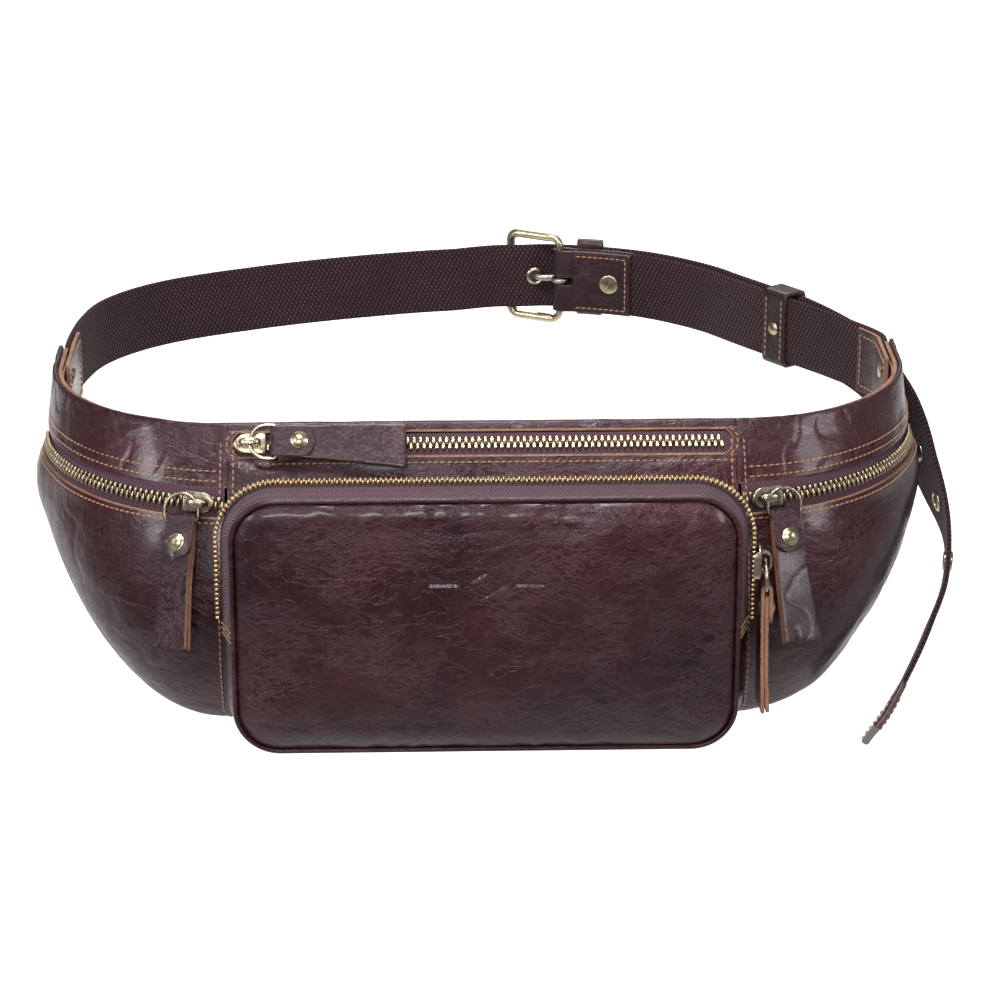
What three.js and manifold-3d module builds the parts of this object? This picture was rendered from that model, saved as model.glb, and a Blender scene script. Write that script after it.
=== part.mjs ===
// Leather waist pack: a curved body with a zipped main compartment, two zipped wing pockets,
// a raised front pocket, and a webbing belt closed by a prong buckle.
// Millimetres. +X along the pack, towards the wing that carries the loose strap end; +Y towards
// the wearer; +Z up.
// The shapes are drawn with z = 0 at the base, and the group is lowered so that the origin is
// the centre of the flat face that lies against the wearer.
import * as THREE from "three";
import { mergeVertices } from "three/addons/utils/BufferGeometryUtils.js";
import Module from "manifold-3d";

const wasm = await Module();
wasm.setup();

// ---------- driving dimensions ----------
const HEIGHT = 136; // base to rim
const HALF_FLAT = 118; // half width of the flat middle, seam to seam
const WING_RADIUS = 84; // bend of the wearer-side wall round the hips
const WING_STRAIGHT = 28; // straight end of each wing, behind the bend
const RIM_DEPTH = 5; // wall and band together at the rim
const END_DEPTH = 5.2; // wing end, where its two walls are sewn together
const BELLY = 2; // extra fullness of the wing pockets
const SIDE_BELLY = 5; // and of their far ends, past the pulls' reach
const SIDE_FROM = 1.0; // bend, in radians, where the far end's fullness begins
const WING_BASE_CURVE = 1.75;
const WING_BASE = 66; // height of the wing's lower edge at the end of its bend
const WING_TIP_RISE = 28; // and its further rise to the wing's end
const LEATHER = 2.2; // thickness of the hide
const GAP = 0.3; // clearance between touching pieces

const WING_ZIP_Z = 105; // wing zip height
const ZIP_SHIFT = 9; // the wing zip bends about a point this far in and down from the wing's own
const ZIP_RADIUS = 100.6;
const ZIP_TILT = THREE.MathUtils.degToRad(16);
const CHAIN_WIDTH = 6;
const CHAIN_THICK = 2.2;
const TAPE_WIDTH = 10.6;
const TAPE_THICK = 0.8;

const POCKET_HALF = 114;
const POCKET_LOW = 1;
const POCKET_HIGH = 123;
const POCKET_CORNER = 20;
const POCKET_FRONT = 71; // front edge of the pocket, ahead of the wearer-side face
const POCKET_DOME = 6;
const POCKET_ZIP_BACK = 11; // zip centre behind the front edge
const POCKET_GROW = 7; // the pocket widens by this much behind its front edge

const WEB_WIDTH = 35;
const WEB_THICK = 2.6;
const WIRE = 2; // buckle wire radius
const BUCKLE_REACH = 28; // heel bar to the far bar
const BUCKLE_HALF = 23; // half height of the buckle's centre line
const OVERLAP_OFFSET = 7.2; // the long strap lies this far outside the short one

const LEATHER_COLOUR = 0x3a1a1a;
const EDGE_COLOUR = 0xa9764c;
const WEB_COLOUR = 0x2e2220;
const TAPE_COLOUR = 0x4a3940;
const BRASS_COLOUR = 0x9a8458;
const LINING_COLOUR = 0x2a2320;

const skins = {
  leather: { color: LEATHER_COLOUR, roughness: 0.35, metalness: 0 },
  edge: { color: EDGE_COLOUR, roughness: 0.85, metalness: 0 },
  webbing: { color: WEB_COLOUR, roughness: 0.9, metalness: 0 },
  tape: { color: TAPE_COLOUR, roughness: 0.9, metalness: 0 },
  brass: { color: BRASS_COLOUR, roughness: 0.35, metalness: 1 },
  lining: { color: LINING_COLOUR, roughness: 0.95, metalness: 0 },
};

const pack = new THREE.Group();
pack.position.z = -HEIGHT / 2;

function addPiece(name, geometry, skin, parent = pack) {
  const mesh = new THREE.Mesh(geometry, new THREE.MeshStandardMaterial(skins[skin]));
  mesh.name = name;
  parent.add(mesh);
  return mesh;
}

// ---------- solids ----------
const vec = (x, y, z) => new THREE.Vector3(x, y, z);
const lerp = THREE.MathUtils.lerp;
const clamp = THREE.MathUtils.clamp;
const smooth = (x) => THREE.MathUtils.smoothstep(x, 0, 1);

function signedVolume(points, faces) {
  let six = 0;
  for (const [a, b, c] of faces) six += points[a].dot(points[b].clone().cross(points[c]));
  return six;
}

function closedGeometry(points, faces) {
  const turned = signedVolume(points, faces) < 0;
  const index = faces.flatMap(([a, b, c]) => (turned ? [a, c, b] : [a, b, c]));
  const geometry = new THREE.BufferGeometry();
  const numbers = points.flatMap((p) => p.toArray());
  geometry.setAttribute("position", new THREE.Float32BufferAttribute(numbers, 3));
  geometry.setIndex(index);
  return geometry;
}

// A sheet with thickness: outer(i, j) and inner(i, j) are matching points of a grid. A looped
// sheet joins its last row to its first.
function sheet(rows, cols, outer, inner, looped = false) {
  const points = [];
  const faces = [];
  const lines = looped ? rows : rows + 1;
  for (const side of [outer, inner]) {
    for (let i = 0; i < lines; i++) for (let j = 0; j <= cols; j++) points.push(side(i, j));
  }
  const at = (side, i, j) => side * lines * (cols + 1) + (i % lines) * (cols + 1) + j;
  const quad = (a, b, c, d) => faces.push([a, b, c], [a, c, d]);
  for (let i = 0; i < rows; i++) {
    for (let j = 0; j < cols; j++) {
      quad(at(0, i, j), at(0, i + 1, j), at(0, i + 1, j + 1), at(0, i, j + 1));
      quad(at(1, i, j), at(1, i, j + 1), at(1, i + 1, j + 1), at(1, i + 1, j));
    }
    quad(at(0, i, 0), at(1, i, 0), at(1, i + 1, 0), at(0, i + 1, 0));
    quad(at(0, i, cols), at(0, i + 1, cols), at(1, i + 1, cols), at(1, i, cols));
  }
  for (let j = 0; j < cols && !looped; j++) {
    quad(at(0, 0, j), at(0, 0, j + 1), at(1, 0, j + 1), at(1, 0, j));
    quad(at(0, rows, j), at(1, rows, j), at(1, rows, j + 1), at(0, rows, j + 1));
  }
  return closedGeometry(points, faces);
}

// A flat strip along a list of frames {at, across, up}, lifted along up.
function ribbon(frames, width, thick, lift = 0, looped = false) {
  const place = (height) => (i, j) => {
    const f = frames[i];
    const middle = f.at.clone().addScaledVector(f.up, lift + height);
    return middle.addScaledVector(f.across, (j - 0.5) * width);
  };
  return sheet(looped ? frames.length : frames.length - 1, 1, place(thick / 2), place(-thick / 2), looped);
}

// A round wire closed on itself, in the plane whose normal is given.
function wireLoop(centres, radius, normal, sides = 8) {
  const rows = centres.length;
  const points = [];
  const faces = [];
  centres.forEach((p, i) => {
    const before = centres[(i + rows - 1) % rows];
    const out = centres[(i + 1) % rows].clone().sub(before).normalize().cross(normal);
    for (let k = 0; k < sides; k++) {
      const turn = (2 * Math.PI * k) / sides;
      const [sideways, upwards] = [radius * Math.cos(turn), radius * Math.sin(turn)];
      points.push(p.clone().addScaledVector(out, sideways).addScaledVector(normal, upwards));
    }
  });
  for (let i = 0; i < rows; i++) {
    for (let k = 0; k < sides; k++) {
      const [a, b] = [i * sides + k, i * sides + ((k + 1) % sides)];
      const [c, d] = [((i + 1) % rows) * sides + k, ((i + 1) % rows) * sides + ((k + 1) % sides)];
      faces.push([a, c, d], [a, d, b]);
    }
  }
  return closedGeometry(points, faces);
}

function toSolid(geometry) {
  const bare = new THREE.BufferGeometry().setAttribute("position", geometry.getAttribute("position"));
  if (geometry.index) bare.setIndex(geometry.index);
  const merged = mergeVertices(bare, 1e-3);
  const vertProperties = new Float32Array(merged.getAttribute("position").array);
  const triVerts = new Uint32Array(merged.index.array);
  return new wasm.Manifold(new wasm.Mesh({ numProp: 3, vertProperties, triVerts }));
}

function toGeometry(solid) {
  const mesh = solid.getMesh();
  const geometry = new THREE.BufferGeometry();
  geometry.setAttribute("position", new THREE.Float32BufferAttribute(mesh.vertProperties, 3));
  geometry.setIndex(new THREE.Uint32BufferAttribute(mesh.triVerts, 1));
  return geometry;
}

const joined = (...parts) => toGeometry(parts.map(toSolid).reduce((a, b) => a.add(b)));
const cut = (base, ...tools) =>
  toGeometry(tools.map(toSolid).reduce((a, b) => a.subtract(b), toSolid(base)));

// A round bar through a point, along a direction, used to drill holes.
function drill(at, along, radius, length = 30) {
  const bar = new THREE.CylinderGeometry(radius, radius, length, 16);
  bar.applyQuaternion(new THREE.Quaternion().setFromUnitVectors(vec(0, 1, 0), along.clone().normalize()));
  return bar.translate(at.x, at.y, at.z);
}

// A shape turned about y from [radius, height] pairs.
function turned(pairs, sides) {
  return new THREE.LatheGeometry(pairs.map(([r, y]) => new THREE.Vector2(r, y)), sides);
}

// A double-cap rivet along z: the shank passes from z = low to z = high, with a domed cap outside
// each, the one behind flatter.
function rivet(low, high, capRadius, capHeight, shank) {
  const dome = (z, side, rise) => [
    [shank, z + side * GAP],
    [capRadius, z + side * GAP],
    [capRadius * 0.94, z + side * (GAP + rise * 0.5)],
    [capRadius * 0.6, z + side * (GAP + rise * 0.9)],
    [0, z + side * (GAP + rise)],
  ];
  const behind = dome(low, -1, capHeight * 0.45).reverse();
  return turned([...behind, ...dome(high, 1, capHeight)], 16).rotateX(Math.PI / 2);
}

// ---------- body surface ----------
// A station along the wearer-side wall, at signed distance s from the middle.
function wallAt(s) {
  const side = Math.sign(s) || 1;
  const past = Math.max(Math.abs(s) - HALF_FLAT, 0);
  const bend = Math.min(past / WING_RADIUS, Math.PI / 2);
  const straight = Math.max(past - WING_RADIUS * Math.PI / 2, 0);
  const x = Math.min(Math.abs(s), HALF_FLAT) + WING_RADIUS * Math.sin(bend);
  const y = WING_RADIUS * (1 - Math.cos(bend)) + straight;
  return { x: side * x, y, nx: side * Math.sin(bend), ny: -Math.cos(bend), bend, end: straight / WING_STRAIGHT };
}
const WING_END = HALF_FLAT + WING_RADIUS * Math.PI / 2 + WING_STRAIGHT;

function lowerEdge(station) {
  return WING_BASE * Math.sin(station.bend) ** WING_BASE_CURVE + WING_TIP_RISE * smooth(station.end);
}

// How full the section is, from 0 at the rim to 1 at its deepest and less again at the base.
const DEEPEST = 0.66;
function fullness(v) {
  if (v < DEEPEST) return 1 - (1 - v / DEEPEST) ** 1.6;
  return 1 - 0.32 * ((v - DEEPEST) / (1 - DEEPEST)) ** 2.5;
}

// Depth of the wing zip's circle from the wing's wall, in the direction of a bend angle.
function zipDepth(bend) {
  const lean = ZIP_SHIFT * (Math.sin(bend) - Math.cos(bend));
  return Math.sqrt(lean * lean - 2 * ZIP_SHIFT ** 2 + ZIP_RADIUS ** 2) - lean - WING_RADIUS;
}

function skinDepth(station, v) {
  const drop = HEIGHT - lowerEdge(station);
  const vZip = (HEIGHT - WING_ZIP_Z) / drop;
  const atZip = lerp(zipDepth(station.bend), END_DEPTH, smooth(station.end));
  const deepest = RIM_DEPTH + (atZip - RIM_DEPTH) / fullness(Math.min(vZip, 1));
  const below = clamp((v - vZip) / (1 - vZip), 0, 1);
  const side = SIDE_BELLY * smooth((station.bend - SIDE_FROM) / 0.45);
  const swell = BELLY * Math.sin(2 * station.bend) + side;
  const belly = swell * Math.sin(Math.PI * below) * (1 - station.end);
  return RIM_DEPTH + (deepest - RIM_DEPTH) * fullness(v) + belly;
}

// A point of the outer skin: v runs 0 to 1 from the rim to the base, and 1 to 1.25 back under it.
const UNDER = 1.25;
function skinAt(s, v) {
  const station = wallAt(s);
  const low = lowerEdge(station);
  let depth = skinDepth(station, Math.min(v, 1));
  if (v > 1) depth = lerp(depth, LEATHER + 2 * GAP + 0.4, (v - 1) / (UNDER - 1));
  const z = HEIGHT - Math.min(v, 1) * (HEIGHT - low);
  return vec(station.x + depth * station.nx, station.y + depth * station.ny, z);
}

function skinNormal(s, v) {
  const [ds, dv] = [0.5, 0.01];
  const alongS = skinAt(s + ds, v).sub(skinAt(s - ds, v));
  const alongV = skinAt(s, Math.min(v + dv, UNDER)).sub(skinAt(s, Math.max(v - dv, 0)));
  return alongV.cross(alongS).normalize();
}

const heightToV = (s, z) => (HEIGHT - z) / (HEIGHT - lowerEdge(wallAt(s)));

// Holds a panel's inner face on its own side of the seam between middle and wing.
function keepToSide(p, s) {
  const seam = HALF_FLAT - GAP / 2;
  if (Math.abs(s) < HALF_FLAT) p.x = clamp(p.x, -seam, seam);
  else p.x = Math.sign(s) * Math.max(Math.abs(p.x), HALF_FLAT + GAP / 2);
  return p;
}

// A leather panel of the body between two stations, from v = top(s) to v = bottom(s).
function bodyPanel(from, to, top, bottom, rows, cols, thick = LEATHER) {
  const station = (i) => lerp(from, to, i / rows);
  const level = (i, j) => lerp(top(station(i)), bottom(station(i)), j / cols);
  const outer = (i, j) => skinAt(station(i), level(i, j));
  const inner = (i, j) => {
    const normal = skinNormal(station(i), level(i, j));
    const p = outer(i, j).addScaledVector(normal, -thick);
    return keepToSide(p, station(i));
  };
  return sheet(rows, cols, outer, inner);
}

// ---------- body ----------
const MAIN_ZIP_V = 0.058;
const MAIN_BAND_V = 0.024;
const MAIN_LOWER_V = 0.092;
const WING_ZIP_HALF = 6;

function makeBackPanel() {
  const rows = 40;
  const station = (i) => wallAt(lerp(-WING_END, WING_END, i / rows));
  const place = (depth) => (i, j) => {
    const w = station(i);
    const z = lerp(lowerEdge(w) + GAP, HEIGHT, j / 2);
    return vec(w.x + depth * w.nx, w.y + depth * w.ny, z);
  };
  addPiece("back_panel", sheet(rows, 2, place(LEATHER), place(0)), "leather");
}

function makeMiddle() {
  const half = HALF_FLAT - GAP / 2;
  const fixed = (v) => () => v;
  addPiece("top_band", bodyPanel(-half, half, fixed(0), fixed(MAIN_BAND_V), 2, 1), "leather");
  addPiece("front_panel", bodyPanel(-half, half, fixed(MAIN_LOWER_V), fixed(UNDER), 2, 12), "leather");
}

function makeWing(side, name) {
  const [from, to] = [side * (HALF_FLAT + GAP / 2), side * WING_END];
  const zipTop = (s) => heightToV(s, WING_ZIP_Z + WING_ZIP_HALF);
  const zipBottom = (s) => heightToV(s, WING_ZIP_Z - WING_ZIP_HALF);
  addPiece(`${name}_wing_band`, bodyPanel(from, to, () => 0, zipTop, 16, 3), "leather");
  addPiece(`${name}_wing_panel`, bodyPanel(from, to, zipBottom, () => UNDER, 16, 9), "leather");
}

// The wall between the main compartment and a wing pocket, sewn in at the seam.
function makeDivider(side, name) {
  const outline = [];
  const clear = LEATHER + 1.8;
  for (let v = 0.16; v <= 0.92; v += 0.08) {
    outline.push(new THREE.Vector2(-(skinDepth(wallAt(HALF_FLAT), v) - clear), HEIGHT * (1 - v)));
  }
  outline.push(new THREE.Vector2(-clear, clear), new THREE.Vector2(-clear, outline[0].y));
  const wall = new THREE.ExtrudeGeometry(new THREE.Shape(outline), { depth: 1.2, bevelEnabled: false });
  // The outline is drawn as (y, z) and stood up across the pack.
  wall.applyMatrix4(new THREE.Matrix4().makeBasis(vec(0, 1, 0), vec(0, 0, 1), vec(1, 0, 0)));
  addPiece(`${name}_divider`, wall.translate(side * (HALF_FLAT - 1.2) - 0.6, 0, 0), "lining");
}

// ---------- zips ----------
// A zip lies along frames whose "at" is on the leather's outer face: the tape is sunk, the chain
// stands on it, and the slider rides on the chain.
const TAPE_LIFT = -LEATHER / 2 - 0.3;
const CHAIN_LIFT = TAPE_LIFT + TAPE_THICK / 2 + GAP + CHAIN_THICK / 2;
const SLIDER_LIFT = CHAIN_LIFT + CHAIN_THICK / 2 + GAP;

function makeZip(name, frames) {
  addPiece(`${name}_zip_tape`, ribbon(frames, TAPE_WIDTH, TAPE_THICK, TAPE_LIFT), "tape");
  addPiece(`${name}_zip_chain`, ribbon(frames, CHAIN_WIDTH, CHAIN_THICK, CHAIN_LIFT), "brass");
}

function mainZipFrame(x) {
  const at = skinAt(0, MAIN_ZIP_V).setX(x);
  const up = skinNormal(0, MAIN_ZIP_V);
  return { at, up, along: vec(1, 0, 0), across: up.clone().cross(vec(1, 0, 0)) };
}

// The wing zip runs on a level circle about a point near the wing's own centre of bend.
const zipCentre = (side) => vec(side * (HALF_FLAT - ZIP_SHIFT), WING_RADIUS - ZIP_SHIFT, WING_ZIP_Z);
function wingZipFrame(side, turn) {
  const out = vec(side * Math.sin(turn), -Math.cos(turn), 0);
  const along = vec(Math.cos(turn), side * Math.sin(turn), 0).multiplyScalar(side);
  const up = out.clone().multiplyScalar(Math.cos(ZIP_TILT)).add(vec(0, 0, Math.sin(ZIP_TILT)));
  const across = vec(0, 0, Math.cos(ZIP_TILT)).addScaledVector(out, -Math.sin(ZIP_TILT));
  return { at: zipCentre(side).addScaledVector(out, ZIP_RADIUS), up, along, across };
}

// The die-cast slider: a plate over the chain with an arch for the ring.
const PLATE = 1.6;
const ARCH_HOLE = 3.8;
const ARCH_WIDTH = 3.4;
function sliderGeometry() {
  const arch = new THREE.Shape();
  arch.moveTo(-4.6, 0);
  arch.lineTo(4.6, 0);
  arch.lineTo(4, PLATE + ARCH_HOLE + 0.4);
  arch.absarc(0, PLATE + ARCH_HOLE - 2.6, 5, Math.PI * 0.22, Math.PI * 0.78, false);
  arch.lineTo(-4, PLATE + ARCH_HOLE + 0.4);
  arch.closePath();
  const hole = new THREE.Path();
  hole.moveTo(-2.7, PLATE);
  hole.lineTo(-2.7, PLATE + ARCH_HOLE);
  hole.lineTo(2.7, PLATE + ARCH_HOLE);
  hole.lineTo(2.7, PLATE);
  hole.closePath();
  arch.holes.push(hole);
  const bridge = new THREE.ExtrudeGeometry(arch, { depth: ARCH_WIDTH, bevelEnabled: false, curveSegments: 6 });
  bridge.translate(0, 0, -ARCH_WIDTH / 2).rotateX(Math.PI / 2);
  const plate = new THREE.Shape();
  plate.moveTo(-5.5, -3);
  plate.quadraticCurveTo(0, -5.4, 6, -4.4);
  plate.lineTo(6, 4.4);
  plate.quadraticCurveTo(0, 5.4, -5.5, 3);
  plate.closePath();
  const body = new THREE.ExtrudeGeometry(plate, { depth: PLATE, bevelEnabled: false, curveSegments: 5 });
  return joined(body, bridge);
}

// D ring: a half circle and two short legs closed by a straight bar, in the plane z = 0.
const RING_RADIUS = 8;
const RING_LEG = 4;
const RING_WIRE = 0.9;
const RING_LIFT = PLATE + ARCH_HOLE / 2;
const SIDE_GRIP = Math.PI / 6; // where a sideways ring's bow passes through the arch
function ringGeometry() {
  const path = new THREE.Path();
  const corner = 1.6;
  path.moveTo(-RING_RADIUS + corner, -RING_LEG);
  path.lineTo(RING_RADIUS - corner, -RING_LEG);
  path.absarc(RING_RADIUS - corner, corner - RING_LEG, corner, -Math.PI / 2, 0, false);
  path.lineTo(RING_RADIUS, 0);
  path.absarc(0, 0, RING_RADIUS, 0, Math.PI, false);
  path.lineTo(-RING_RADIUS, corner - RING_LEG);
  path.absarc(corner - RING_RADIUS, corner - RING_LEG, corner, Math.PI, Math.PI * 1.5, false);
  const centres = path.getSpacedPoints(32).slice(0, 32).map((p) => vec(p.x, p.y, 0));
  return wireLoop(centres, RING_WIRE, vec(0, 0, 1), 6);
}

// Leather pull: a doubled strip folded over the ring's bar, its front end held down by a rivet.
const TAB_LENGTH = 60;
const TAB_TOP = 13.4;
const TAB_BOTTOM = 20;
const TAB_BACK = 2.2;
const TAB_FRONT = 3.15;
const TAB_BODY = 1.4;
const TAB_FLAP = 18;
const TAB_RIVET = 11;
function tabGeometry() {
  const side = new THREE.Shape();
  const lap = Math.sqrt(TAB_FRONT ** 2 - TAB_BACK ** 2);
  side.moveTo(-TAB_BACK, -TAB_LENGTH);
  side.lineTo(TAB_BODY, -TAB_LENGTH);
  side.lineTo(TAB_BODY, -TAB_FLAP);
  side.lineTo(TAB_FRONT, -TAB_FLAP);
  side.lineTo(TAB_FRONT, 0);
  side.absarc(0, 0, TAB_FRONT, 0, Math.PI + Math.atan2(lap, TAB_BACK), false);
  side.closePath();
  const eye = new THREE.Path();
  eye.absarc(0, 0, RING_WIRE + 0.4, 0, Math.PI * 2, true);
  side.holes.push(eye);
  const strip = new THREE.ExtrudeGeometry(side, { depth: 1, steps: 1, bevelEnabled: false, curveSegments: 8 });
  const place = strip.getAttribute("position");
  for (let i = 0; i < place.count; i++) {
    const [thick, down, across] = [place.getX(i), place.getY(i), place.getZ(i) - 0.5];
    const width = lerp(TAB_TOP, TAB_BOTTOM, clamp(-down / TAB_LENGTH, 0, 1));
    place.setXYZ(i, -across * width, down, thick);
  }
  const hole = drill(vec(0, -TAB_RIVET, 0), vec(0, 0, 1), 1.6);
  return cut(strip, hole);
}

// A slider with its ring and leather pull. sideways says that the ring's leg is in the arch, and
// not the middle of its bow, so that the pull hangs across the zip. tilt turns the pull to the leather.
function makePull(name, frame, sideways, tilt = 0) {
  const slider = new THREE.Group();
  slider.name = `${name}_slider_group`;
  slider.applyMatrix4(new THREE.Matrix4().makeBasis(frame.along, frame.across, frame.up));
  slider.position.copy(frame.at.clone().addScaledVector(frame.up, SLIDER_LIFT));
  addPiece(`${name}_slider`, sliderGeometry(), "brass", slider);
  const ring = new THREE.Group();
  ring.name = `${name}_ring_group`;
  const grip = sideways ? SIDE_GRIP : 0;
  ring.position.set(RING_RADIUS * Math.cos(grip), -RING_RADIUS * Math.sin(grip), RING_LIFT);
  ring.rotation.z = sideways ? 0 : Math.PI / 2;
  addPiece(`${name}_pull_ring`, ringGeometry(), "brass", ring);
  const tab = new THREE.Group();
  tab.name = `${name}_tab_group`;
  tab.position.set(0, -RING_LEG, 0);
  tab.rotation.x = tilt;
  addPiece(`${name}_pull_tab`, tabGeometry(), "leather", tab);
  const cap = rivet(-TAB_BACK, TAB_FRONT, 4, 1.5, 1.3).translate(0, -TAB_RIVET, 0);
  addPiece(`${name}_pull_rivet`, cap, "brass", tab);
  ring.add(tab);
  slider.add(ring);
  pack.add(slider);
}

function makeMainZip() {
  const half = HALF_FLAT - 1.5;
  makeZip("main", [mainZipFrame(-half), mainZipFrame(0), mainZipFrame(half)]);
  makePull("main", mainZipFrame(-half + 9), false);
}

const WING_ZIP_FROM = THREE.MathUtils.degToRad(6);
const WING_ZIP_TO = THREE.MathUtils.degToRad(86);
const WING_SLIDER = THREE.MathUtils.degToRad(12.5);
const PULL_TILT = THREE.MathUtils.degToRad(10); // a wing's pull leans out over the belly
function makeWingZip(side, name) {
  const steps = 22;
  const frames = [];
  for (let i = 0; i <= steps; i++) {
    frames.push(wingZipFrame(side, lerp(WING_ZIP_FROM, WING_ZIP_TO, i / steps)));
  }
  makeZip(name, frames);
  const rest = wingZipFrame(side, WING_SLIDER);
  makePull(name, rest, true, -PULL_TILT);
}

// ---------- front pocket ----------
// A point of the pocket's outline, grown outwards, with the way out of it; u runs once round from
// the middle of the base towards +X.
function outlineAt(u, grow) {
  const half = POCKET_HALF + grow;
  const low = Math.max(POCKET_LOW - grow * 0.1, 0);
  const high = POCKET_HIGH + grow * 0.6;
  const r = POCKET_CORNER + grow;
  const path = new THREE.Path();
  path.moveTo(0, low);
  path.lineTo(half - r, low);
  path.absarc(half - r, low + r, r, -Math.PI / 2, 0, false);
  path.lineTo(half, high - r);
  path.absarc(half - r, high - r, r, 0, Math.PI / 2, false);
  path.lineTo(r - half, high);
  path.absarc(r - half, high - r, r, Math.PI / 2, Math.PI, false);
  path.lineTo(-half, low + r);
  path.absarc(r - half, low + r, r, Math.PI, Math.PI * 1.5, false);
  path.lineTo(0, low);
  path.arcLengthDivisions = 400;
  const p = path.getPointAt(((u % 1) + 1) % 1);
  const t = path.getTangentAt(((u % 1) + 1) % 1);
  return { x: p.x, z: p.y, outX: t.y, outZ: -t.x };
}
const POCKET_STEPS = 64;
const ZIP_FROM = 0.245; // share of the outline where the zip starts on the right, above the base
const ZIP_SHARE = 1 - 2 * ZIP_FROM;
const POCKET_CHAIN_WIDTH = 5;
const POCKET_BAND_PAST = 3.5; // the bands reach this far behind the zip's middle
const BAND_GROW = POCKET_GROW - 1.2;
const POCKET_SLIDER_Z = 88;

// A band round the pocket between two places on its outline, from the front panel's edge back
// past the zip.
function pocketBand(from, to, rows, thick) {
  const front = POCKET_FRONT - 0.2;
  const back = POCKET_FRONT - POCKET_ZIP_BACK - POCKET_BAND_PAST;
  const place = (sink) => (i, j) => {
    const o = outlineAt(lerp(from, to, i / rows), lerp(0.5, BAND_GROW, j));
    return vec(o.x - sink * o.outX, -lerp(front, back, j), o.z - sink * o.outZ);
  };
  return sheet(rows, 1, place(0), place(thick));
}

function makePocket() {
  const domed = (sink) => (i, j) => {
    const [across, up] = [i / 12, j / 8];
    const [a, b] = [2 * across - 1, 2 * up - 1];
    // A square is mapped onto the rounded outline by easing its corners in.
    const pull = (POCKET_CORNER - 1) * (1 - Math.SQRT1_2) * Math.abs(a * b) ** 6;
    const x = a * (POCKET_HALF - 1.6) - Math.sign(a) * pull;
    const z = lerp(POCKET_LOW + 1.6, POCKET_HIGH - 1.6, up) - Math.sign(b) * pull;
    const dome = POCKET_DOME * (1 - a ** 4) * (1 - b ** 4);
    return vec(x, -(POCKET_FRONT + LEATHER + dome - sink), z);
  };
  addPiece("pocket_front", sheet(12, 8, domed(0), domed(LEATHER)), "leather");

  const zipBack = POCKET_FRONT - POCKET_ZIP_BACK;
  const steps = 44;
  const frames = [];
  for (let i = 0; i <= steps; i++) {
    const u = ZIP_FROM + (ZIP_SHARE * i) / steps;
    const o = outlineAt(u, POCKET_GROW);
    const out = vec(o.outX, 0, o.outZ);
    frames.push({ at: vec(o.x, -zipBack, o.z), up: out, across: vec(0, -1, 0) });
  }
  const zipTo = ZIP_FROM + ZIP_SHARE;
  addPiece("pocket_zip_tape", pocketBand(ZIP_FROM, zipTo, steps, TAPE_THICK), "tape");
  const chain = ribbon(frames, POCKET_CHAIN_WIDTH, CHAIN_THICK, GAP + CHAIN_THICK / 2);
  addPiece("pocket_zip_chain", chain, "brass");
  const spare = 0.003; // gap at each end of the zip, as a share of the outline
  const lower = pocketBand(zipTo - 1 + spare, ZIP_FROM - spare, 36, LEATHER);
  addPiece("pocket_lower_gusset", lower, "leather");

  // The gusset reaches back to the body's front panel, which slopes away under it.
  const rows = POCKET_STEPS;
  const seam = (sink) => (i, j) => {
    const o = outlineAt(i / rows, BAND_GROW);
    const front = zipBack - POCKET_BAND_PAST - GAP;
    if (j === 0) return vec(o.x - sink * o.outX, -front, o.z - sink * o.outZ);
    const inset = 9 + 8 * clamp(o.outZ, 0, 1);
    const x = o.x - (inset + sink) * o.outX;
    const z = Math.max(o.z - (inset + sink) * o.outZ, 3 + sink);
    const body = skinDepth(wallAt(0), (HEIGHT - z) / HEIGHT);
    return vec(x, -(body + 1.2), z);
  };
  addPiece("pocket_gusset", sheet(rows, 1, seam(0), seam(LEATHER), true), "leather");

  const pipe = [];
  for (let i = 0; i < rows; i++) {
    const o = outlineAt(i / rows, 0.4);
    pipe.push(vec(o.x, -(POCKET_FRONT + 1.3), o.z));
  }
  addPiece("pocket_piping", wireLoop(pipe, 1.2, vec(0, 1, 0), 6), "leather");

  // This chain stands on the tape, where the other zips' chains are sunk in the leather.
  const raised = GAP + CHAIN_THICK / 2 - CHAIN_LIFT;
  const at = vec(POCKET_HALF + POCKET_GROW + raised, -zipBack, POCKET_SLIDER_Z);
  const [up, along] = [vec(1, 0, 0), vec(0, 0, -1)];
  makePull("pocket", { at, up, along, across: up.clone().cross(along) }, false);
}

// ---------- belt ----------
const WEB_MID = HEIGHT - WEB_WIDTH / 2;
const START = HALF_FLAT + WING_RADIUS + WEB_THICK / 2 - 0.2;
const WING_TIP = WING_RADIUS + WING_STRAIGHT + 0.4;
const beltLine = new THREE.CatmullRomCurve3(
  [
    [-START, WING_TIP], [-START, WING_TIP + 12], [-200, 158], [-191, 188], [-166, 217],
    [-113, 245], [-40, 268], [6, 275], [50, 273], [90, 260], [120, 237], [136, 216], [152, 195],
    [168, 174], [184, 153], [START - 0.6, WING_TIP + 10], [START, WING_TIP],
  ].map(([x, y]) => vec(x, y, 0)),
  false,
  "centripetal",
);
beltLine.arcLengthDivisions = 1200;
const BELT_LENGTH = beltLine.getLength();

// Turns belt coordinates into place: s along the belt, out away from the wearer, z up from the
// middle of the webbing.
function onBelt(s, out, z) {
  const u = clamp(s / BELT_LENGTH, 0, 1);
  const t = beltLine.getTangentAt(u);
  const past = s - u * BELT_LENGTH;
  return beltLine.getPointAt(u).addScaledVector(t, past).add(vec(-t.y * out, t.x * out, WEB_MID + z));
}

// The frame of a belt station, for rigid pieces: x along the belt, y outwards, z up.
function beltFrame(s) {
  const t = beltLine.getTangentAt(s / BELT_LENGTH);
  const basis = new THREE.Matrix4().makeBasis(vec(t.x, t.y, 0), vec(-t.y, t.x, 0), vec(0, 0, 1));
  return basis.setPosition(onBelt(s, 0, 0));
}

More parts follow.
